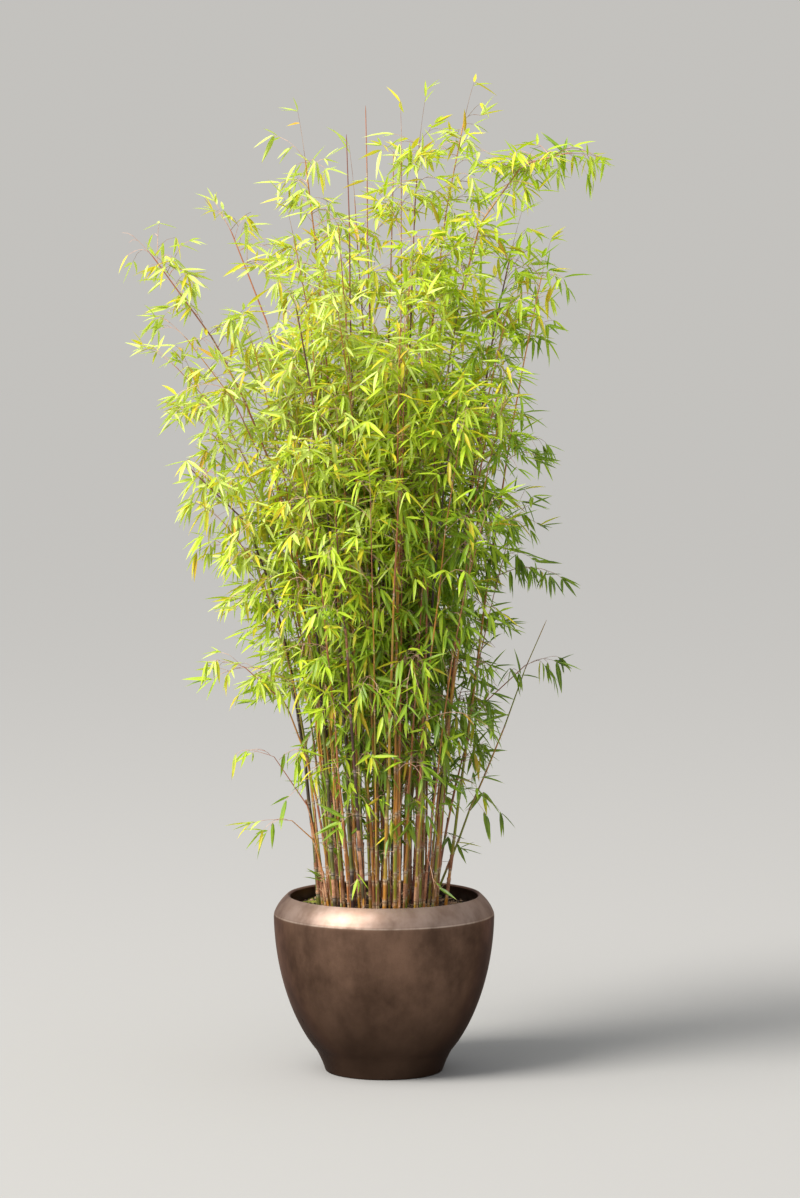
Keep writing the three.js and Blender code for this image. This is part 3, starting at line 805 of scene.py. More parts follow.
def inner_profile(gap):
    """The inside of the wall down to the planter's floor, moved further in by gap."""
    reach = WALL + gap
    start = (POT_RADIUS - reach, SHOULDER_HEIGHT - 12)
    belly = [(radius - reach, height) for radius, height in reversed(BELLY)]
    waist = (WAIST[0] - reach, WAIST[1])
    corner = (FOOT_RADIUS - reach, FLOOR_HEIGHT + (SEAT_GAP if gap else 0))
    return [(OPENING_RADIUS + 5 - gap, SOIL_TOP), start, *bezier([start, *belly, waist], 12), corner]


def soil_height(x, y, relief):
    """Height of the soil's surface in millimetres. It sinks a little towards the planter's wall."""
    lumps = sum(high * noise.noise(Vector((x / size, y / size, layer))) for size, high, layer in SOIL_LUMPS)
    sunk = 5 * max(0.0, math.hypot(x, y) - 172) / 24
    return SOIL_TOP - 1.5 + relief / MM * lumps - sunk


class BAMBOO_OT_turn_planter(bpy.types.Operator):
    """Turns the planter as one closed shell"""

    bl_idname = "bamboo.turn_planter"
    bl_label = "Turn planter"

    def execute(self, context):
        settings = context.scene.bamboo_planter
        outline = [*outer_profile(settings.lip / MM), *inner_profile(0), (0, FLOOR_HEIGHT)]
        piece = turned("planter", outline, settings.sides)
        finished(piece, lacquer_material(settings), "planter", ["pot"], 38)
        return {"FINISHED"}


class BAMBOO_OT_fill_soil(bpy.types.Operator):
    """Fills the planter with lumpy soil"""

    bl_idname = "bamboo.fill_soil"
    bl_label = "Fill soil"

    def execute(self, context):
        settings = context.scene.bamboo_soil
        sides = inner_profile(SOIL_SIDE_GAP)[::-1]
        rim = sides[-1][0]
        top = [(rim * (1 - k / SOIL_RINGS), SOIL_TOP) for k in range(1, SOIL_RINGS)]
        piece = turned("soil_fill", [*sides, *top, (0, SOIL_TOP)], SOIL_SIDES)
        noise.seed_set(SEEDS["soil"])  # without it noise_vector would follow the clock
        for vertex in piece.data.vertices:
            x, y, z = vertex.co / MM
            if z > SOIL_TOP - 1:
                shake = 0.9 * noise.noise_vector(Vector((x / 3, y / 3, 1.7)))
                vertex.co.x += shake.x * MM
                vertex.co.y += shake.y * MM
                vertex.co.z = soil_height(x, y, settings.relief) * MM
        earth = mottled_material("potting_soil", settings.earth, settings.crumb)
        finished(piece, earth, "soil", ["soil"], 60)
        return {"FINISHED"}


def on_soil(rng, count, relief, lift=0.0):
    """Random places on the soil's surface."""
    radius = LITTER_REACH * np.sqrt(rng.random(count))
    angle = rng.random(count) * 2 * math.pi
    x, y = radius * np.cos(angle), radius * np.sin(angle)
    z = np.array([soil_height(a, b, relief) for a, b in zip(x, y)]) + lift
    return np.stack([x, y, z], -1)


def strewn_lumps(rng, places, sizes):
    """Copies of one rough lump, each turned and stretched its own way."""
    deselect_all()
    bpy.ops.mesh.primitive_ico_sphere_add(subdivisions=1, radius=1)
    shape, *faces = pattern_from(bpy.context.object)
    rough = shape * (1 + 0.25 * np.sin(np.arange(len(shape)) * 2.4))[:, None]
    stretched = rough[None] * sizes[:, None, :]
    turned_lumps = np.einsum("nij,nkj->nki", turned_frames(rng, len(places)), stretched)
    return copies(turned_lumps + places[:, None], faces)


def lying_straws(rng, places, lengths, radii):
    """Thin bent stalks that lie about level."""
    heading = rng.random(len(places)) * 2 * math.pi
    share = np.linspace(-0.5, 0.5, 5)
    bow = rng.uniform(-0.35, 0.35, len(places))[:, None] * (share**2 - 0.08)
    tilt = rng.uniform(-0.15, 0.35, len(places))[:, None] * share
    along = np.stack([np.cos(heading), np.sin(heading), 0 * heading], -1)[:, None]
    aside = np.stack([-np.sin(heading), np.cos(heading), 0 * heading], -1)[:, None]
    line = along * share[None, :, None] + aside * bow[..., None]
    line[..., 2] += tilt
    line = places[:, None] + line * lengths[:, None, None]
    return tubes(line, radii[:, None] * np.array([0.6, 1, 1, 0.9, 0.5]), 3)


def moss_sprigs(rng, count, relief):
    """Upright sprigs in round patches, each a slim three-sided cone."""
    deselect_all()
    bpy.ops.mesh.primitive_cone_add(vertices=3, radius1=0.5, radius2=0, depth=1, location=(0, 0, 0.4))
    apply_place()
    shape, *faces = pattern_from(bpy.context.object)
    places, heights = [], []
    for x, y, radius in MOSS_PATCHES:
        reach = radius * rng.random(count) ** 0.6
        angle = rng.random(count) * 2 * math.pi
        reach *= 1 + 0.3 * np.sin(3 * angle + x) + 0.2 * np.sin(5 * angle + y)
        patch = np.stack([x + reach * np.cos(angle), y + reach * np.sin(angle)], -1)
        patch = patch[np.hypot(*patch.T) < MOSS_REACH]
        places.append([(a, b, soil_height(a, b, relief) - 0.5) for a, b in patch])
        heights.append(np.interp(np.hypot(patch[:, 0] - x, patch[:, 1] - y), [0, radius * 1.2], [6.5, 2.2]))
    places, heights = np.concatenate(places), np.concatenate(heights)
    heights = heights * rng.uniform(0.6, 1.2, len(heights))
    lean = rng.normal(0, 0.35, (len(places), 2))
    width = rng.uniform(0.9, 1.7, len(places))
    points = shape[None] * np.stack([width, width, heights], -1)[:, None]
    points[..., :2] += points[..., 2:] * lean[:, None]
    return copies(points + places[:, None], faces)


class BAMBOO_OT_strew_litter(bpy.types.Operator):
    """Strews crumbs, bark, straw and moss on the soil"""

    bl_idname = "bamboo.strew_litter"
    bl_label = "Strew litter"

    def execute(self, context):
        settings = context.scene.bamboo_soil
        rng = random_for("litter")
        places = on_soil(rng, settings.crumbs, settings.relief, 0.6)
        sizes = rng.uniform(1.0, 3.6, (len(places), 1)) * rng.uniform(0.6, 1.2, (len(places), 3))
        crumbs = gathered("soil_crumbs", [strewn_lumps(rng, places, sizes)])
        finished(crumbs, mottled_material("peat_crumbs", settings.earth, settings.crumb), "soil", degrees=50)

        places = on_soil(rng, settings.chips, settings.relief, 1.4)
        sizes = rng.uniform(2.0, 5.0, (len(places), 1)) * np.array([[1.4, 0.7, 0.3]])
        chips = gathered("bark_chips", [strewn_lumps(rng, places, sizes)])
        finished(chips, mottled_material("dry_bark", BARK, PALE_BARK), "cane_tan", degrees=40)

        places = on_soil(rng, settings.straws, settings.relief, 2.0)
        places[:, :2] *= 0.9
        lengths, radii = rng.uniform(10, 46, len(places)), rng.uniform(0.45, 1.1, len(places))
        straws = gathered("dry_straws", [lying_straws(rng, places, lengths, radii)])
        finished(straws, mottled_material("dry_straw", settings.straw, STRAW_SHADE), "cane_tan")

        moss = gathered("moss", [moss_sprigs(rng, settings.sprigs, settings.relief)])
        finished(moss, mottled_material("moss_green", settings.moss, MOSS_TIP), "foliage", degrees=20)
        return {"FINISHED"}


# Canes by the source's rule


def seeded(seed):
    """The source's repeatable random numbers from 0 to 1."""
    state = seed

    def draw():
        nonlocal state
        state = state * 16807 % 2147483647
        return state / 2147483647

    draw()
    return draw


def gap_between(some, others):
    """The least distance between two sets of straight runs, each an array of runs by ends by 3."""
    start, other_start = some[:, None, 0], others[None, :, 0]
    one, two, apart = some[:, None, 1] - start, others[None, :, 1] - other_start, start - other_start
    a, b, c = (one * one).sum(-1), (one * two).sum(-1), (one * apart).sum(-1)
    e, f = (two * two).sum(-1), (two * apart).sum(-1)
    share = np.clip((b * f - c * e) / np.maximum(a * e - b * b, 1e-9), 0, 1)
    other_share = (b * share + f) / e
    share = np.where(other_share < 0, np.clip(-c / a, 0, 1), share)
    share = np.where(other_share > 1, np.clip((b - c) / a, 0, 1), share)
    other_share = np.clip(other_share, 0, 1)
    gaps = apart + one * share[..., None] - two * other_share[..., None]
    return math.sqrt((gaps**2).sum(-1).min())


def runs_of(line):
    return np.stack([line[:-1], line[1:]], 1)


class Cane:
    """A cane's middle line and thickness. It stays in one upright plane."""

    def __init__(self, foot, tip, arch, droop, leaves, radius):
        self.foot, self.tip = np.array(foot, float), np.array(tip, float)
        self.arch, self.droop = arch, droop
        self.leaves, self.radius = leaves, radius
        self.split = self.share_at_height(leaves) if leaves else 1.0
        self.length = float(np.linalg.norm(np.diff(self.points(CURVE), axis=0), axis=1).sum())
        stem_start = self.split + SEAT_GAP / self.length
        self.stem_line = self.points(np.linspace(stem_start, 1, STEM_STEPS + 1)) if leaves else None
        self.bare_runs = runs_of(self.points(np.linspace(0, self.split, CANE_STEPS + 1)))
        self.stem_runs = runs_of(self.stem_line) if leaves else np.zeros((0, 2, 3))

    def points(self, t):
        t = np.asarray(t, float)
        lean = (1 - self.arch) * t + self.arch * (0.6 * t**2 + 0.4 * t**6)
        rise = t + self.droop * (t - t**3)
        flat = self.foot + lean[..., None] * (self.tip[:2] - self.foot)
        height = between(SOIL_TOP + SEAT_GAP, self.tip[2], rise)
        return np.concatenate([flat, height[..., None]], -1)

    def share_at_height(self, height):
        low, high = 0.0, 1.0
        for _ in range(30):
            middle = (low + high) / 2
            if self.points(middle)[2] < height:
                low = middle
            else:
                high = middle
        return low


def feet(count):
    """The places where canes leave the soil: a spiral that fills a disc evenly."""
    radii = [CLUMP_RADIUS * math.sqrt((k + 0.5) / count) for k in range(count)]
    return [(r * math.cos(k * GOLDEN_ANGLE), r * math.sin(k * GOLDEN_ANGLE)) for k, r in enumerate(radii)]


def take_foot(free, wanted):
    best = min(free, key=lambda place: math.dist(place, wanted))
    free.remove(best)
    return best


def fanned_canes(fan, draw):
    count, first, last, foot, reach, height, rise, arch, leaves = fan
    for k in range(count):
        angle = math.radians(between(first, last, k / (count - 1)))
        far = reach * between(0.82, 1.12, draw())
        high = height + rise * between(-1, 1, draw())
        ray = np.array([math.cos(angle), math.sin(angle)])
        yield tuple(ray * foot), (*(ray * far), high), arch, 0, leaves + 90 * draw()


def cane_radius(draw):
    return CANE_RADIUS * between(0.8, 1.15, draw())


def inner_cane(foot, draw):
    x = foot[0] * INNER_SPREAD + INNER_SHIFT * (draw() - 0.5)
    y = foot[1] * INNER_SPREAD + INNER_SHIFT * (draw() - 0.5)
    tip = (x, y, INNER_HEIGHT + INNER_RISE * draw())
    return Cane(foot, tip, 0.3 * draw(), 0, None, cane_radius(draw))


def passes_clear(cane, other):
    runs = np.concatenate([other.bare_runs, other.stem_runs])
    return gap_between(cane.bare_runs, runs) > cane.radius + other.radius + LIMB_MARGIN


@functools.lru_cache(maxsize=None)
def source_canes():
    """The canes of the solids in their order."""
    draw = seeded(CLUMP_SEED)
    fanned = [cane for fan in FANS for cane in fanned_canes(fan, draw)]
    wanted = [*LEADERS, *fanned, *WHIPS]
    free = feet(len(wanted) + INNER_COUNT)
    laid = [Cane(take_foot(free, foot), *rest, cane_radius(draw)) for foot, *rest in wanted]
    for foot in free:
        cane = inner_cane(foot, draw)
        while not all(passes_clear(cane, other) for other in laid):
            cane = inner_cane(foot, draw)
        laid.append(cane)
    return laid


def young_canes(count, rng):
    """The shoots, and thin canes between the others that end at all heights inside the crown."""
    canes = [Cane(*shoot, None, rng.uniform(*SHOOT_RADII)) for shoot in SHOOTS]
    for k in range(count):
        angle = k * GOLDEN_ANGLE + 1.1
        reach = YOUNG_REACH * math.sqrt((k + 0.5) / count)
        ray = (math.cos(angle), math.sin(angle))
        foot = tuple(reach * part + rng.uniform(*YOUNG_SHAKE) for part in ray)
        spread = rng.uniform(*YOUNG_SPREADS)
        x, y = (part * spread + rng.uniform(*YOUNG_TIP_SHAKE) for part in foot)
        tip = (x, y, rng.uniform(*YOUNG_TIPS))
        canes.append(Cane(foot, tip, rng.uniform(0.1, 0.6), 0, None, rng.uniform(*YOUNG_RADII)))
    return canes


class Culm:
    """A cane with its joints, at each of which it turns a little."""

    def __init__(self, cane, rng, first_joint, longest_joint, slimmer):
        self.cane, self.slimmer = cane, slimmer
        self.line = cane.points(CURVE)
        self.reach = np.concatenate([[0], np.cumsum(np.linalg.norm(np.diff(self.line, axis=0), axis=1))])
        joints, step = [rng.uniform(*FIRST_JOINTS)], first_joint
        while joints[-1] < cane.length - JOINTLESS_TIP:
            joints.append(joints[-1] + step * rng.uniform(*JOINT_SPREAD))
            step = min(step * JOINT_GROWTH, longest_joint)
        self.joints = np.array(joints[:-1])
        share = np.minimum(self.joints / FULL_TURN_FROM, 1)[:, None]
        turns = rng.normal(0, TURN_SPREAD, (len(self.joints), 2)) * share
        self.turns = np.concatenate([[[0, 0]], turns, [[0, 0]]])
        self.turn_places = np.concatenate([[0], self.joints, [cane.length]])
        self.tones = rng.uniform(*TONE_SPREAD, len(self.joints) + 1)

    def at(self, places):
        """Points of the middle line at distances from the foot. Below the foot it goes straight down."""
        places = np.asarray(places, float)
        line = np.stack([np.interp(places, self.reach, self.line[:, k]) for k in range(3)], -1)
        for k in range(2):
            line[..., k] += np.interp(places, self.turn_places, self.turns[:, k])
        line[..., 2] += np.minimum(places, 0)
        return line

    def radius(self, places):
        share = np.clip(np.asarray(places, float) / self.cane.length, 0, 1)
        return self.cane.radius * self.slimmer * between(1, TIP_SHARE, share)

    def direction(self, place):
        ahead = self.at(place + 4) - self.at(place - 4)
        return ahead / np.linalg.norm(ahead)

    def heights(self):
        return self.at(self.joints)[:, 2]

    def tube(self, tone, sides):
        """The culm as a batch, with its tone and rings at each point."""
        inner = (self.joints[:, None] + JOINT_ROWS).ravel()
        rows = np.concatenate([FOOT_ROWS, inner, self.cane.length - np.array(TIP_ROWS)])
        swell = np.concatenate([FOOT_SWELL, np.tile(JOINT_SWELL, len(self.joints)), TIP_SWELL])
        ring = np.concatenate([[0, 0], np.tile(JOINT_RING, len(self.joints)), [0, 0]])
        radii = self.radius(rows) * (1 + swell)
        batch = tubes(self.at(rows)[None], radii[None], sides)
        joint = np.searchsorted(self.joints, rows + 1e-6)
        redder = 0.6 * np.clip(rows / self.cane.length - 0.25, 0, 1)
        tones = np.clip(tone + self.tones[joint] + redder, 0, 1)
        return batch, np.repeat(tones, sides), np.repeat(ring, sides)


@functools.lru_cache(maxsize=None)
def culms(young, first_joint, longest_joint):
    """All culms: those of the solids in their order, and then the young ones."""
    rng = random_for("culms")
    canes = [*source_canes(), *young_canes(young, rng)]
    joints = first_joint / MM, longest_joint / MM
    slimmer = [SLIM_WHIP if k in WHIP_NUMBERS else SLIMMER for k in range(len(canes))]
    return [Culm(cane, rng, *joints, slim) for cane, slim in zip(canes, slimmer)]


def scene_culms(context):
    settings = context.scene.bamboo_canes
    return culms(settings.young, settings.first_joint, settings.longest_joint)


def is_dark(number):
    return number % 3 == 2


class BAMBOO_OT_raise_canes(bpy.types.Operator):
    """Raises the light canes, the dark ones and the young ones as a piece each"""

    bl_idname = "bamboo.raise_canes"
    bl_label = "Raise canes"

    def execute(self, context):
        settings = context.scene.bamboo_canes
        rng = random_for("tones")
        count = len(source_canes())
        tones = settings.olive, settings.ochre, settings.rust
        light = cane_material("light_cane", *tones, LIGHT_BLOOM, LIGHT_SCAR)
        tones = settings.moss, settings.night, settings.plum
        dark = cane_material("dark_cane", *tones, DARK_BLOOM, DARK_SCAR)
        groups = {"light_canes": [], "dark_canes": [], "young_canes": []}
        for k, culm in enumerate(scene_culms(context)):
            name = "young_canes" if k >= count else "dark_canes" if is_dark(k) else "light_canes"
            tone = rng.uniform(*CANE_TONES)
            if k in WHIP_NUMBERS:
                tone = 0 if k == LEANING_CANE else WHIP_TONE
            groups[name].append(culm.tube(tone, YOUNG_SIDES if k >= count else CANE_SIDES))
        for name, made in groups.items():
            batches, tones, rings = zip(*made)
            values = {"tone": np.concatenate(tones), "ring": np.concatenate(rings)}
            wanted = {"light_canes": False, "dark_canes": True}
            nodes = [f"cane_{k + 1:02d}" for k in range(count) if wanted.get(name) == is_dark(k)]
            skin, slot = (dark, "cane_dark") if name == "dark_canes" else (light, "cane_tan")
            finished(gathered(name, batches, values), skin, slot, nodes, 40)
        return {"FINISHED"}


def sheath_pattern():
    """One papery sheath of unit length and radius, open down one side, with a pointed tip that stands off."""
    deselect_all()
    bpy.ops.mesh.primitive_circle_add(vertices=10, radius=1.06)
    piece = bpy.context.object
    open_whole()
    for lift, ratio in SHEATH_ROWS:
        extrude((0, 0, lift))
        bpy.ops.transform.resize(value=(ratio, ratio, 1))
    edit_mode(False)
    for face in piece.data.polygons:
        face.select = face.center.y > 0.55 * (1.25 - face.center.z)
    edit_mode(True, "FACE")
    bpy.ops.mesh.delete(type="FACE")
    close_outwards()
    for vertex in piece.data.vertices:
        vertex.co.y -= 0.5 * max(0.0, vertex.co.z - 0.75)
    solid = piece.modifiers.new("paper", "SOLIDIFY")
    solid.thickness, solid.offset = 0.05, 1
    bpy.ops.object.modifier_apply(modifier=solid.name)
    return pattern_from(piece)


class BAMBOO_OT_wrap_sheaths(bpy.types.Operator):
    """Wraps papery sheaths round the lower joints of the canes"""

    bl_idname = "bamboo.wrap_sheaths"
    bl_label = "Wrap sheaths"

    def execute(self, context):
        rng = random_for("sheaths")
        shape, *faces = sheath_pattern()
        wrapped = []
        for culm in scene_culms(context):
            for joint, height in zip(culm.joints, culm.heights()):
                if rng.random() > at_height(height, SHEATH_CHANCE):
                    continue
                along = culm.direction(joint)
                turn = rng.uniform(*ANY_TURN)
                across = np.cross(along, [math.cos(turn), math.sin(turn), 0])
                across /= np.linalg.norm(across)
                axes = np.stack([across, np.cross(along, across), along])
                wide = float(culm.radius(joint)) * SHEATH_ROOM
                size = np.array([wide, wide, rng.uniform(*SHEATH_LENGTHS)])
                wrapped.append(culm.at(joint - 1) + (shape * size) @ axes)
        sheaths = gathered("sheaths", [copies(np.array(wrapped), faces)])
        skin = mottled_material("papery_sheath", context.scene.bamboo_canes.sheath, SHEATH_SHADE)
        finished(sheaths, skin, "cane_tan")
        return {"FINISHED"}


# Twigs by the source's rule, and finer ones


def distances(points, runs):
    """The distance of each point to the nearest of the straight runs."""
    start, along = runs[None, :, 0], (runs[:, 1] - runs[:, 0])[None]
    share = ((points[:, None] - start) * along).sum(-1) / (along * along).sum(-1)
    nearest = start + np.clip(share, 0, 1)[..., None] * along
    return np.linalg.norm(points[:, None] - nearest, axis=-1).min(1)


def in_own_space(points, own, leafy, margin):
    home = distances(points, own.stem_runs)
    above = points[:, 2] > POT_HEIGHT + RIM_MARGIN
    clear = [distances(points, other.stem_runs) > home + margin for other in leafy if other is not own]
    return bool(above.all() and np.all(clear))


def twig_points(roots, azimuths, lengths, rises, hangs, t):
    """Points of twigs, each of which leaves its stem outwards and upwards and then hangs over."""
    out = lengths[:, None] * t
    up = lengths[:, None] * (rises[:, None] * t - hangs[:, None] * t * t)
    flat = np.stack([np.cos(azimuths), np.sin(azimuths)], -1)[:, None]
    return roots[:, None] + np.concatenate([flat * out[..., None], up[..., None]], -1)


def fitting_twig(own, leafy, canes, root, azimuth, length):
    """A twig's azimuth and length once it is turned and shortened to stay in its space, or None."""
    for turn in (0, 0.5, -0.5, 1, -1):
        for share in (1, 0.7, 0.45, 0.3):
            ask = (np.array([v]) for v in (azimuth + turn, length * share, TWIG_RISE, TWIG_HANG))
            line = twig_points(root[None], *ask, np.array([0, 0.5, 1]))[0]
            if not in_own_space(line[1:], own, leafy, SPACE_MARGIN + LEAF_ROOM):
                continue
            reach = SOURCE_TWIG_RADIUS + LIMB_MARGIN
            if all(gap_between(runs_of(line), cane.bare_runs) > cane.radius + reach for cane in canes):
                return azimuth + turn, length * share
    return None


def source_twigs(own, number, leafy, canes):
    """Place up the stem, azimuth and length of each twig of a mass, as in the source."""
    draw = seeded(MASS_SEED + number)
    count = round((1 - own.split) * own.length / TWIG_SPACING)
    for k in range(count):
        share = (k + 0.4) / count
        length = between(*TWIG_LENGTH, share) * between(0.8, 1.2, draw())
        run = min(int(share * STEM_STEPS), STEM_STEPS - 1)
        root = between(own.stem_line[run], own.stem_line[run + 1], share * STEM_STEPS - run)
        found = fitting_twig(own, leafy, canes, root, (k + number) * GOLDEN_ANGLE, length)
        if found:
            yield between(own.split, 1, share), *found


def culm_place(culm, share):
    """Distance from the foot of the point at a share of the cane's curve."""
    return float(np.interp(share, CURVE, culm.reach))


def well_placed(x, y, height, azimuth, length, rise, hang, thick):
    """Whether a twig ends above the planter's rim and outside the openings."""
    end = height + length * (rise - hang)
    return end > POT_HEIGHT + RIM_MARGIN and not in_opening(x + length * math.cos(azimuth), end)


class Sprays:
    """Twigs of the whole clump: root, azimuth, length, rise, hang and thickness at the root of each."""

    def __init__(self):
        self.rows = []

    def add(self, root, azimuth, length, rise, hang, thick):
        self.rows.append((*root, azimuth, length, rise, hang, thick))

    def columns(self):
        table = np.array([row for row in self.rows if well_placed(*row)])
        return table[:, :3], *(table[:, k] for k in range(3, 8))


def leafiness(height):
    """The share of twigs that bear leaves at a height. The lowest part of the clump is nearly bare."""
    return at_height(height, LEAFINESS)


def in_opening(x, height):
    return any(math.hypot(x - place, height - level) < radius for place, level, radius in OPENINGS)


def twig_hang(height, rng):
    """How far a twig hangs over. High up the twigs stand out stiffly."""
    return rng.uniform(0.3, 1.3) * at_height(height, TWIG_HANGS)


def twig_rise(height, rng):
    """How steeply a twig rises. Near the top the twigs stand out more level."""
    return rng.uniform(0.3, 1.9) * at_height(height, TWIG_RISES)


def add_leading_twig(sprays, culm, rng):
    """The twig in which a leafy cane ends, in line with it, and short ones round it."""
    ahead = culm.direction(culm.cane.length - 5)
    level = max(math.hypot(ahead[0], ahead[1]), 0.12)
    azimuth = math.atan2(ahead[1], ahead[0])
    sprays.add(culm.at(culm.cane.length), azimuth, 46 * level, ahead[2] / level, 0.1, TWIG_RADII["leading"])
    lift = between(0.35, 1, ahead[2]) * at_height(culm.line[-1, 2], TIP_RISES)
    for k in range(6):
        root = culm.at(culm.cane.length - 4 - 20 * k)
        out, rise, hang = rng.uniform(12, 40), lift * rng.uniform(0.6, 2.6), rng.uniform(0.2, 0.7)
        sprays.add(root, k * GOLDEN_ANGLE + azimuth, out, rise, hang, TWIG_RADII["tip"])


@functools.lru_cache(maxsize=None)
def main_twigs(all_culms, companions):
    """The source's twigs with finer ones beside them, and short ones on canes that the solids leave bare."""
    rng = random_for("twigs")
    canes = source_canes()
    leafy = [cane for cane in canes if cane.leaves]
    sprays = Sprays()
    for number, own in enumerate(leafy):
        culm = all_culms[number]
        for share, azimuth, length in source_twigs(own, number, leafy, canes):
            place = culm_place(culm, share)
            root = culm.at(place)
            sprays.add(root, azimuth, length, TWIG_RISE, TWIG_HANG, TWIG_RADII["source"])
            for _ in range(companions):
                near = min(place + rng.uniform(-60, 60), own.length - 5)
                finer = length * rng.uniform(0.3, 0.9)
                turn = azimuth + rng.normal(0, 1.6)
                if rng.random() < leafiness(root[2]) + 0.15:
                    rise, hang = twig_rise(root[2], rng), twig_hang(root[2], rng)
                    sprays.add(culm.at(near), turn, finer, rise, hang, TWIG_RADII["finer"])
        add_leading_twig(sprays, culm, rng)
    for number, culm in enumerate(all_culms[len(leafy) :], len(leafy)):
        if number == LEANING_CANE:
            continue
        bare_top = BARE_WHIP_TOP if number < LEANING_CANE else math.inf
        share = 0.4 if culm.line[-1, 1] < FRONT else 1
        for joint, height in zip(culm.joints, culm.heights()):
            for _ in range(3):
                near = min(joint + rng.choice([0, 0, rng.uniform(0, 90)]), culm.cane.length - 5)
                if rng.random() < leafiness(height) * share and height < bare_top:
                    azimuth, length = rng.uniform(0, 2 * math.pi), rng.uniform(*SHORT_TWIGS)
                    rise, hang = twig_rise(height, rng), twig_hang(height, rng)
                    sprays.add(culm.at(near), azimuth, length, rise, hang, TWIG_RADII["finer"])
        if bare_top == math.inf:
            add_leading_twig(sprays, culm, rng)
    return sprays.columns()


@functools.lru_cache(maxsize=None)
def side_twigs(all_culms, companions):
    """The short twigs that bear the leaves, set alternately along each main twig, and one that ends it."""
    rng = random_for("side twigs")
    roots, azimuths, lengths, rises, hangs, _ = main_twigs(all_culms, companions)
    sprays = Sprays()
    for k in range(len(roots)):
        one = slice(k, k + 1)
        count = int(np.clip(round(lengths[k] / SIDE_TWIG_SPACING), 0, MOST_SIDE_TWIGS))
        shares = between(0.25, 0.93, (np.arange(count) + rng.uniform(0.1, 0.9, count)) / max(count, 1))
        own = (roots[one], azimuths[one], lengths[one], rises[one], hangs[one])
        line = twig_points(*own, np.append(shares, 1.0))[0]
        for side, (share, root) in enumerate(zip(shares, line)):
            if rng.random() > leafiness(root[2]) + 0.35 or in_opening(root[0], root[2]):
                continue
            slope = rises[k] - 2 * hangs[k] * share
            turn = (0.75 if side % 2 else -0.75) + rng.normal(0, 0.4)
            rise = slope * 0.6 + rng.uniform(-0.3, 0.8)
            length, hang = rng.uniform(*SIDE_TWIGS), rng.uniform(0.2, 0.9)
            sprays.add(root, azimuths[k] + turn, length, rise, hang, TWIG_RADII["side"])
        slope = rises[k] - 2 * hangs[k]
        length = rng.uniform(12, 30) if lengths[k] > 16 else 9
        azimuth, hang = azimuths[k] + rng.normal(0, 0.2), rng.uniform(0.1, 0.5)
        sprays.add(line[-1], azimuth, length, slope * 0.85, hang, TWIG_RADII["side"])
    return sprays.columns()


def dry_stubs(all_culms):
    """What is left of fallen twigs, at the lower joints."""
    rng = random_for("stubs")
    sprays = Sprays()
    for culm in all_culms:
        for joint, height in zip(culm.joints, culm.heights()):
            if rng.random() < at_height(height, STUB_CHANCE):
                azimuth, length = rng.uniform(0, 2 * math.pi), rng.uniform(*STUBS)
                rise, hang = rng.uniform(0, 1.2), rng.uniform(0, 0.7)
                sprays.add(culm.at(joint), azimuth, length, rise, hang, TWIG_RADII["stub"])
    return sprays.columns()


def foliage_nodes():
    return [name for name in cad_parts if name.startswith("foliage")]


class BAMBOO_OT_grow_twigs(bpy.types.Operator):
    """Grows the twigs and the dry stubs out of the canes"""

    bl_idname = "bamboo.grow_twigs"
    bl_label = "Grow twigs"

    def execute(self, context):
        settings = context.scene.bamboo_foliage
        all_culms = tuple(scene_culms(context))
        # Painted highlight: pale clouds on the twigs' bark
        bark = mottled_material("twig_bark", settings.twig, PAINTED_TWIG_HIGHLIGHT)
        dry = mottled_material("dry_twig", STUB, STUB_SHADE)
        masses = foliage_nodes()
        long_twigs = main_twigs(all_culms, settings.companions)
        short_twigs = side_twigs(all_culms, settings.companions)
        for name, rows, twigs, skin, replaced in (
            ("long_twigs", 6, long_twigs, bark, masses),
            ("short_twigs", 3, short_twigs, bark, masses),
            ("dry_stubs", 3, dry_stubs(all_culms), dry, ()),
        ):
            *shape, thick = twigs
            lines = twig_points(*shape, np.linspace(0, 1, rows))
            radii = thick[:, None] * np.linspace(1, 0.5, rows)
            piece = gathered(name, [tubes(lines, radii, TWIG_SIDES)])
            finished(piece, skin, "cane_dark", replaced, 60)
        return {"FINISHED"}


# Leaves


def leaf_pattern():
    """One leaf of unit length along Y and of unit width: four corners round, pointed at both ends."""
    deselect_all()
    (first, wide), *rows = LEAF_ROWS
    upright = (-math.pi / 2, 0, 0)
    bpy.ops.mesh.primitive_circle_add(vertices=4, radius=0.5, rotation=upright, location=(0, first, 0))
    piece = bpy.context.object
    open_whole()
    bpy.ops.transform.resize(value=(wide, 1, wide), center_override=(0, first, 0))
    place = first
    for next_place, next_wide in rows:
        extrude((0, next_place - place, 0))
        ratio = next_wide / wide
        bpy.ops.transform.resize(value=(ratio, 1, ratio), center_override=(0, next_place, 0))
        place, wide = next_place, next_wide
    extrude((0, 1 - place, 0))
    bpy.ops.mesh.merge(type="CENTER")
    edit_mode(False)
    for vertex in piece.data.vertices:
        vertex.select = abs(vertex.co.y - first) < 0.01
    edit_mode(True)
    extrude((0, -first, 0))
    bpy.ops.mesh.merge(type="CENTER")
    close_outwards()
    return pattern_from(piece)


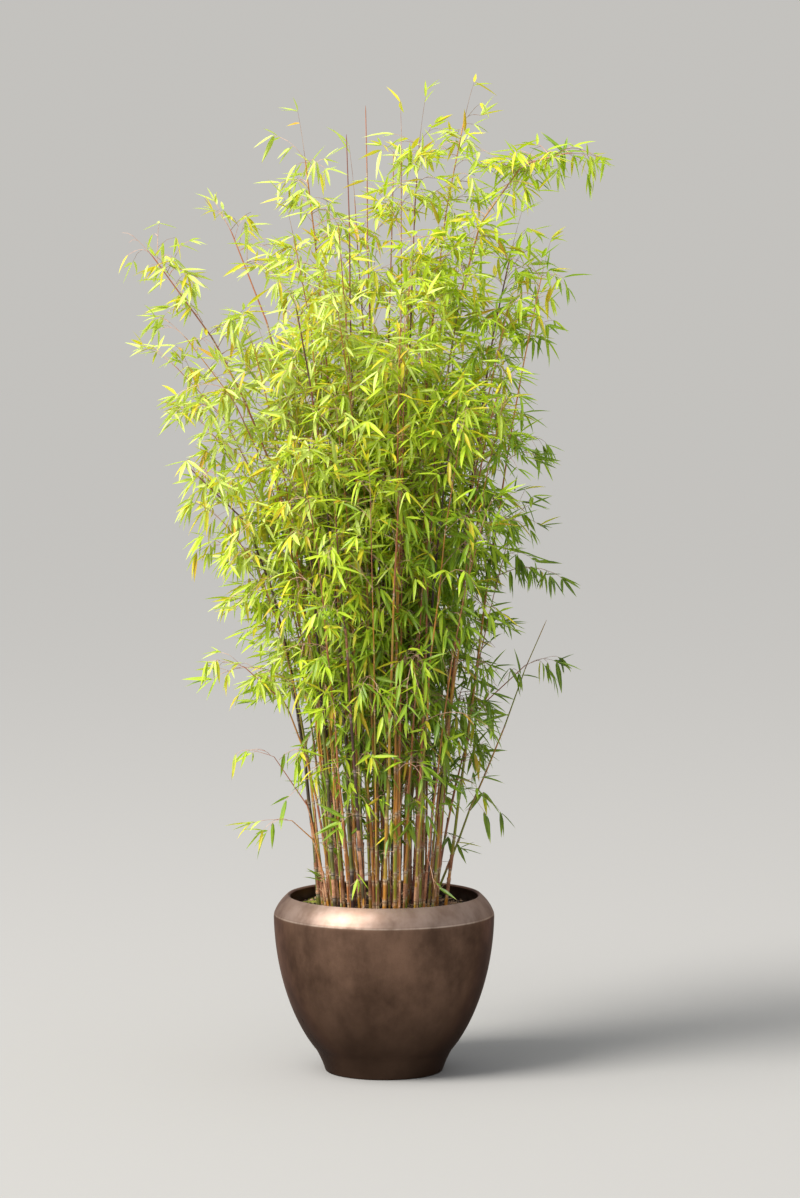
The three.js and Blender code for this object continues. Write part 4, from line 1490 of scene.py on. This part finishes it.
def leaf_points(shape, leaf):
    """Corners of many leaves. leaf holds arrays of their roots, headings, falls, rolls, sizes and bends."""
    heading, fall, roll = leaf["heading"], leaf["fall"], leaf["roll"]
    forward = np.stack([np.cos(heading) * np.cos(fall), np.sin(heading) * np.cos(fall), -np.sin(fall)], -1)
    level = np.stack([-np.sin(heading), np.cos(heading), 0 * heading], -1)
    up = np.cross(forward, level)
    across = level * np.cos(roll)[:, None] + up * np.sin(roll)[:, None]
    up = np.cross(forward, across)
    x, y, z = shape.T
    long, wide, bend = (leaf[key][:, None] for key in ("length", "width", "bend"))
    thick = HALF_THICKNESS * np.sign(z) * (np.abs(z) > 1e-4)
    lift = wide * (LEAF_FOLD * np.abs(x)) + thick - long * bend * y * y
    parts = ((long * y, forward), (wide * x, across), (lift, up))
    ahead, aside, above = (size[..., None] * axis[:, None] for size, axis in parts)
    return leaf["root"][:, None] + (ahead + aside + above)


def fans_of_leaves(twigs, rng, length, width):
    """The leaves of the short twigs: one ends each twig, and others stand behind it on either side."""
    roots, azimuths, lengths, rises, hangs, _ = twigs
    count = len(roots)
    slope = np.arctan(rises - 2 * hangs)
    droop = at_height(roots[:, 2], LEAF_FALLS) - 0.4 * slope + rng.normal(0, 0.36, count)
    size = rng.uniform(*SPRAY_SIZES, count)
    made = []
    for share, turn, chance in LEAF_PLACES:
        wanted = rng.random(count) < chance
        at = share + rng.uniform(-0.03, 0, count)
        out, up = lengths * at, lengths * (rises * at - hangs * at * at)
        heading = azimuths + turn * rng.uniform(0.4, 1.5, count) + rng.normal(0, 0.2, count)
        own = size * rng.uniform(*LEAF_SIZES, count)
        leaves = {
            "spray": np.arange(count),
            "root": roots + np.stack([np.cos(azimuths) * out, np.sin(azimuths) * out, up], -1),
            "heading": heading,
            "fall": np.clip(droop + rng.normal(0, 0.42, count), -1.2, 1.35),
            "roll": rng.normal(0, 0.5, count),
            "length": length * own,
            "width": width * own * rng.uniform(*LEAF_BREADTHS, count),
            "bend": rng.uniform(*LEAF_BENDS, count),
        }
        made.append({key: values[wanted] for key, values in leaves.items()})
    return {key: np.concatenate([part[key] for part in made]) for key in made[0]}


def painted_spray_light(places, rng):
    """The painted light of each spray, as a lightness that picks its leaves' tints. It grows towards the top,
    the left and the front, and low at the left, where the light falls.
    """
    x, y, z = places.T
    painted_low_left_light = LIGHT_LOW_LEFT * np.interp(x, [-240, -170], [1, 0]) * np.interp(z, [700, 900], [1, 0])
    rule = LIGHT_UP * (z - 1050) / 900 - LIGHT_LEFT * x / 400 - LIGHT_FRONT * y / 400 + LIGHT_MIDDLE
    return rule + painted_low_left_light + rng.normal(0, 0.17, len(x))


def leaf_tints(light, rng):
    """Names of the leaves' tints, each a little off its spray's painted lightness, so the greens carry
    painted light and shade. Sprays with more painted light turn yellow most.
    """
    own = light + rng.normal(0, 0.12, len(light))
    names = np.array(GREENS)[np.searchsorted(TINT_STEPS, own)]
    names[rng.random(len(light)) < np.interp(light, [0.2, 0.5, 1.0], [0.03, 0.07, 0.22])] = "yellow"
    names[rng.random(len(light)) < np.interp(light, [0.3, 1.0], [0.012, 0.035])] = "amber"
    return names


def inside(points, low, high):
    return np.all((points > low) & (points < high), axis=(1, 2))


class BAMBOO_OT_leaf_out(bpy.types.Operator):
    """Puts the leaves on the twigs, each tint as a piece of its own"""

    bl_idname = "bamboo.leaf_out"
    bl_label = "Leaf out"

    def execute(self, context):
        settings = context.scene.bamboo_foliage
        rng = random_for("leaves")
        shape, *faces = leaf_pattern()
        twigs = side_twigs(tuple(scene_culms(context)), settings.companions)
        leaves = fans_of_leaves(twigs, rng, settings.leaf_length / MM, settings.leaf_width / MM)
        points = leaf_points(shape, leaves)
        # Painted light and shade: each leaf's tint follows its spray's painted lightness
        tints = leaf_tints(painted_spray_light(twigs[0], rng)[leaves["spray"]], rng)
        low, high = (np.array(corner) / MM for corner in CAD_BOX)
        kept = inside(points, low - PAST_BOX, high + PAST_BOX) & (points[..., 2].min(1) > POT_HEIGHT + 4)
        uv = shape[:, :2] + np.array([0.5, 0])
        for name in GREENS + TURNED:
            chosen = kept & (tints == name)
            batch = copies(points[chosen], faces)
            piece = gathered(f"leaves_{name}", [batch], uv=np.tile(uv, (int(chosen.sum()), 1)))
            blade = Vector(getattr(settings, name))
            other = Vector(getattr(settings, "fresh" if name != "fresh" else "lime"))
            skin = leaf_material(f"{name}_leaf", blade, blade.lerp(other, 0.35))
            finished(piece, skin, "foliage", foliage_nodes(), 30)
        return {"FINISHED"}


# The stage


def sun(name, direction, strength, angle, tint):
    data = bpy.data.lights.new(name, "SUN")
    data.energy, data.angle, data.color = strength, math.radians(angle), tint
    light = bpy.data.objects.new(name, data)
    light.rotation_euler = Vector(direction).to_track_quat("Z", "Y").to_euler()
    bpy.context.scene.collection.objects.link(light)


def area_light(name, place, aim, size, watts, tint):
    data = bpy.data.lights.new(name, "AREA")
    data.shape, data.size, data.energy, data.color = "DISK", size, watts, tint
    light = bpy.data.objects.new(name, data)
    light.location = place
    light.rotation_euler = (Vector(aim) - Vector(place)).to_track_quat("-Z", "Y").to_euler()
    bpy.context.scene.collection.objects.link(light)


def floor_material(tone):
    """A floor without any gloss, so that its far side has the backdrop's colour."""
    material, nodes = new_material("plain_floor")
    nodes.surface(nodes.principled(rgba(tone), 1.0, 0.0))
    return material


class BAMBOO_OT_set_stage(bpy.types.Operator):
    """Lays the floor and sets the lights and the camera"""

    bl_idname = "bamboo.set_stage"
    bl_label = "Set stage"

    def execute(self, context):
        settings = context.scene.bamboo_stage
        deselect_all()
        bpy.ops.mesh.primitive_circle_add(vertices=96, radius=FLOOR_RADIUS, fill_type="NGON")
        floor = context.object
        floor.name = "floor"
        floor.data.materials.append(floor_material(settings.floor))

        world = bpy.data.worlds.new("air")
        world.use_nodes = True
        nodes = Nodes(world.node_tree)
        nodes.tree.nodes.clear()
        light = nodes.add("ShaderNodeBackground", {"Color": rgba(settings.air), "Strength": settings.fill})
        seen = nodes.add("ShaderNodeBackground", {"Color": rgba(settings.backdrop), "Strength": 1.0})
        direct = nodes.add("ShaderNodeLightPath").outputs["Is Camera Ray"]
        both = nodes.add("ShaderNodeMixShader", {0: direct, 1: light.outputs[0], 2: seen.outputs[0]})
        nodes.add("ShaderNodeOutputWorld", {"Surface": both.outputs[0]})
        context.scene.world = world
        sun("key", KEY_FROM, settings.key, KEY_WIDTH, KEY_TINT)
        area_light("side", SIDE_PLACE, SIDE_AIM, SIDE_SIZE, settings.side, SIDE_TINT)

        data = bpy.data.cameras.new("camera")
        data.lens = settings.lens
        camera = bpy.data.objects.new("camera", data)
        camera.location = CAMERA_PLACE
        camera.rotation_euler = (math.radians(90 - CAMERA_DOWN), 0, 0)
        data.clip_end = FARTHEST_SEEN
        context.scene.collection.objects.link(camera)
        context.scene.camera = camera
        context.scene.view_settings.view_transform = "Standard"
        return {"FINISHED"}


# The add-on


OPERATORS = (
    BAMBOO_OT_turn_planter,
    BAMBOO_OT_fill_soil,
    BAMBOO_OT_strew_litter,
    BAMBOO_OT_raise_canes,
    BAMBOO_OT_wrap_sheaths,
    BAMBOO_OT_grow_twigs,
    BAMBOO_OT_leaf_out,
    BAMBOO_OT_set_stage,
)
SETTINGS = {
    "bamboo_planter": PlanterSettings,
    "bamboo_soil": SoilSettings,
    "bamboo_canes": CaneSettings,
    "bamboo_foliage": FoliageSettings,
    "bamboo_stage": StageSettings,
}


class BAMBOO_PT_panel(bpy.types.Panel):
    """Lists the pieces and their settings"""

    bl_label = "Potted Bamboo"
    bl_space_type = "VIEW_3D"
    bl_region_type = "UI"
    bl_category = "Bamboo"

    def draw(self, context):
        for operator in OPERATORS:
            self.layout.operator(operator.bl_idname)
        for name, group in SETTINGS.items():
            box = self.layout.box()
            for key in group.__annotations__:
                box.prop(getattr(context.scene, name), key)


def register():
    for group in (*SETTINGS.values(), *OPERATORS, BAMBOO_PT_panel):
        bpy.utils.register_class(group)
    for name, group in SETTINGS.items():
        setattr(bpy.types.Scene, name, PointerProperty(type=group))


def unregister():
    for name in SETTINGS:
        delattr(bpy.types.Scene, name)
    for group in reversed((*SETTINGS.values(), *OPERATORS, BAMBOO_PT_panel)):
        bpy.utils.unregister_class(group)


def main():
    register()
    bpy.ops.bamboo.turn_planter()
    bpy.ops.bamboo.fill_soil()
    bpy.ops.bamboo.strew_litter()
    bpy.ops.bamboo.raise_canes()
    bpy.ops.bamboo.wrap_sheaths()
    bpy.ops.bamboo.grow_twigs()
    bpy.ops.bamboo.leaf_out()
    bpy.ops.bamboo.set_stage()


if __name__ == "__main__":
    main()
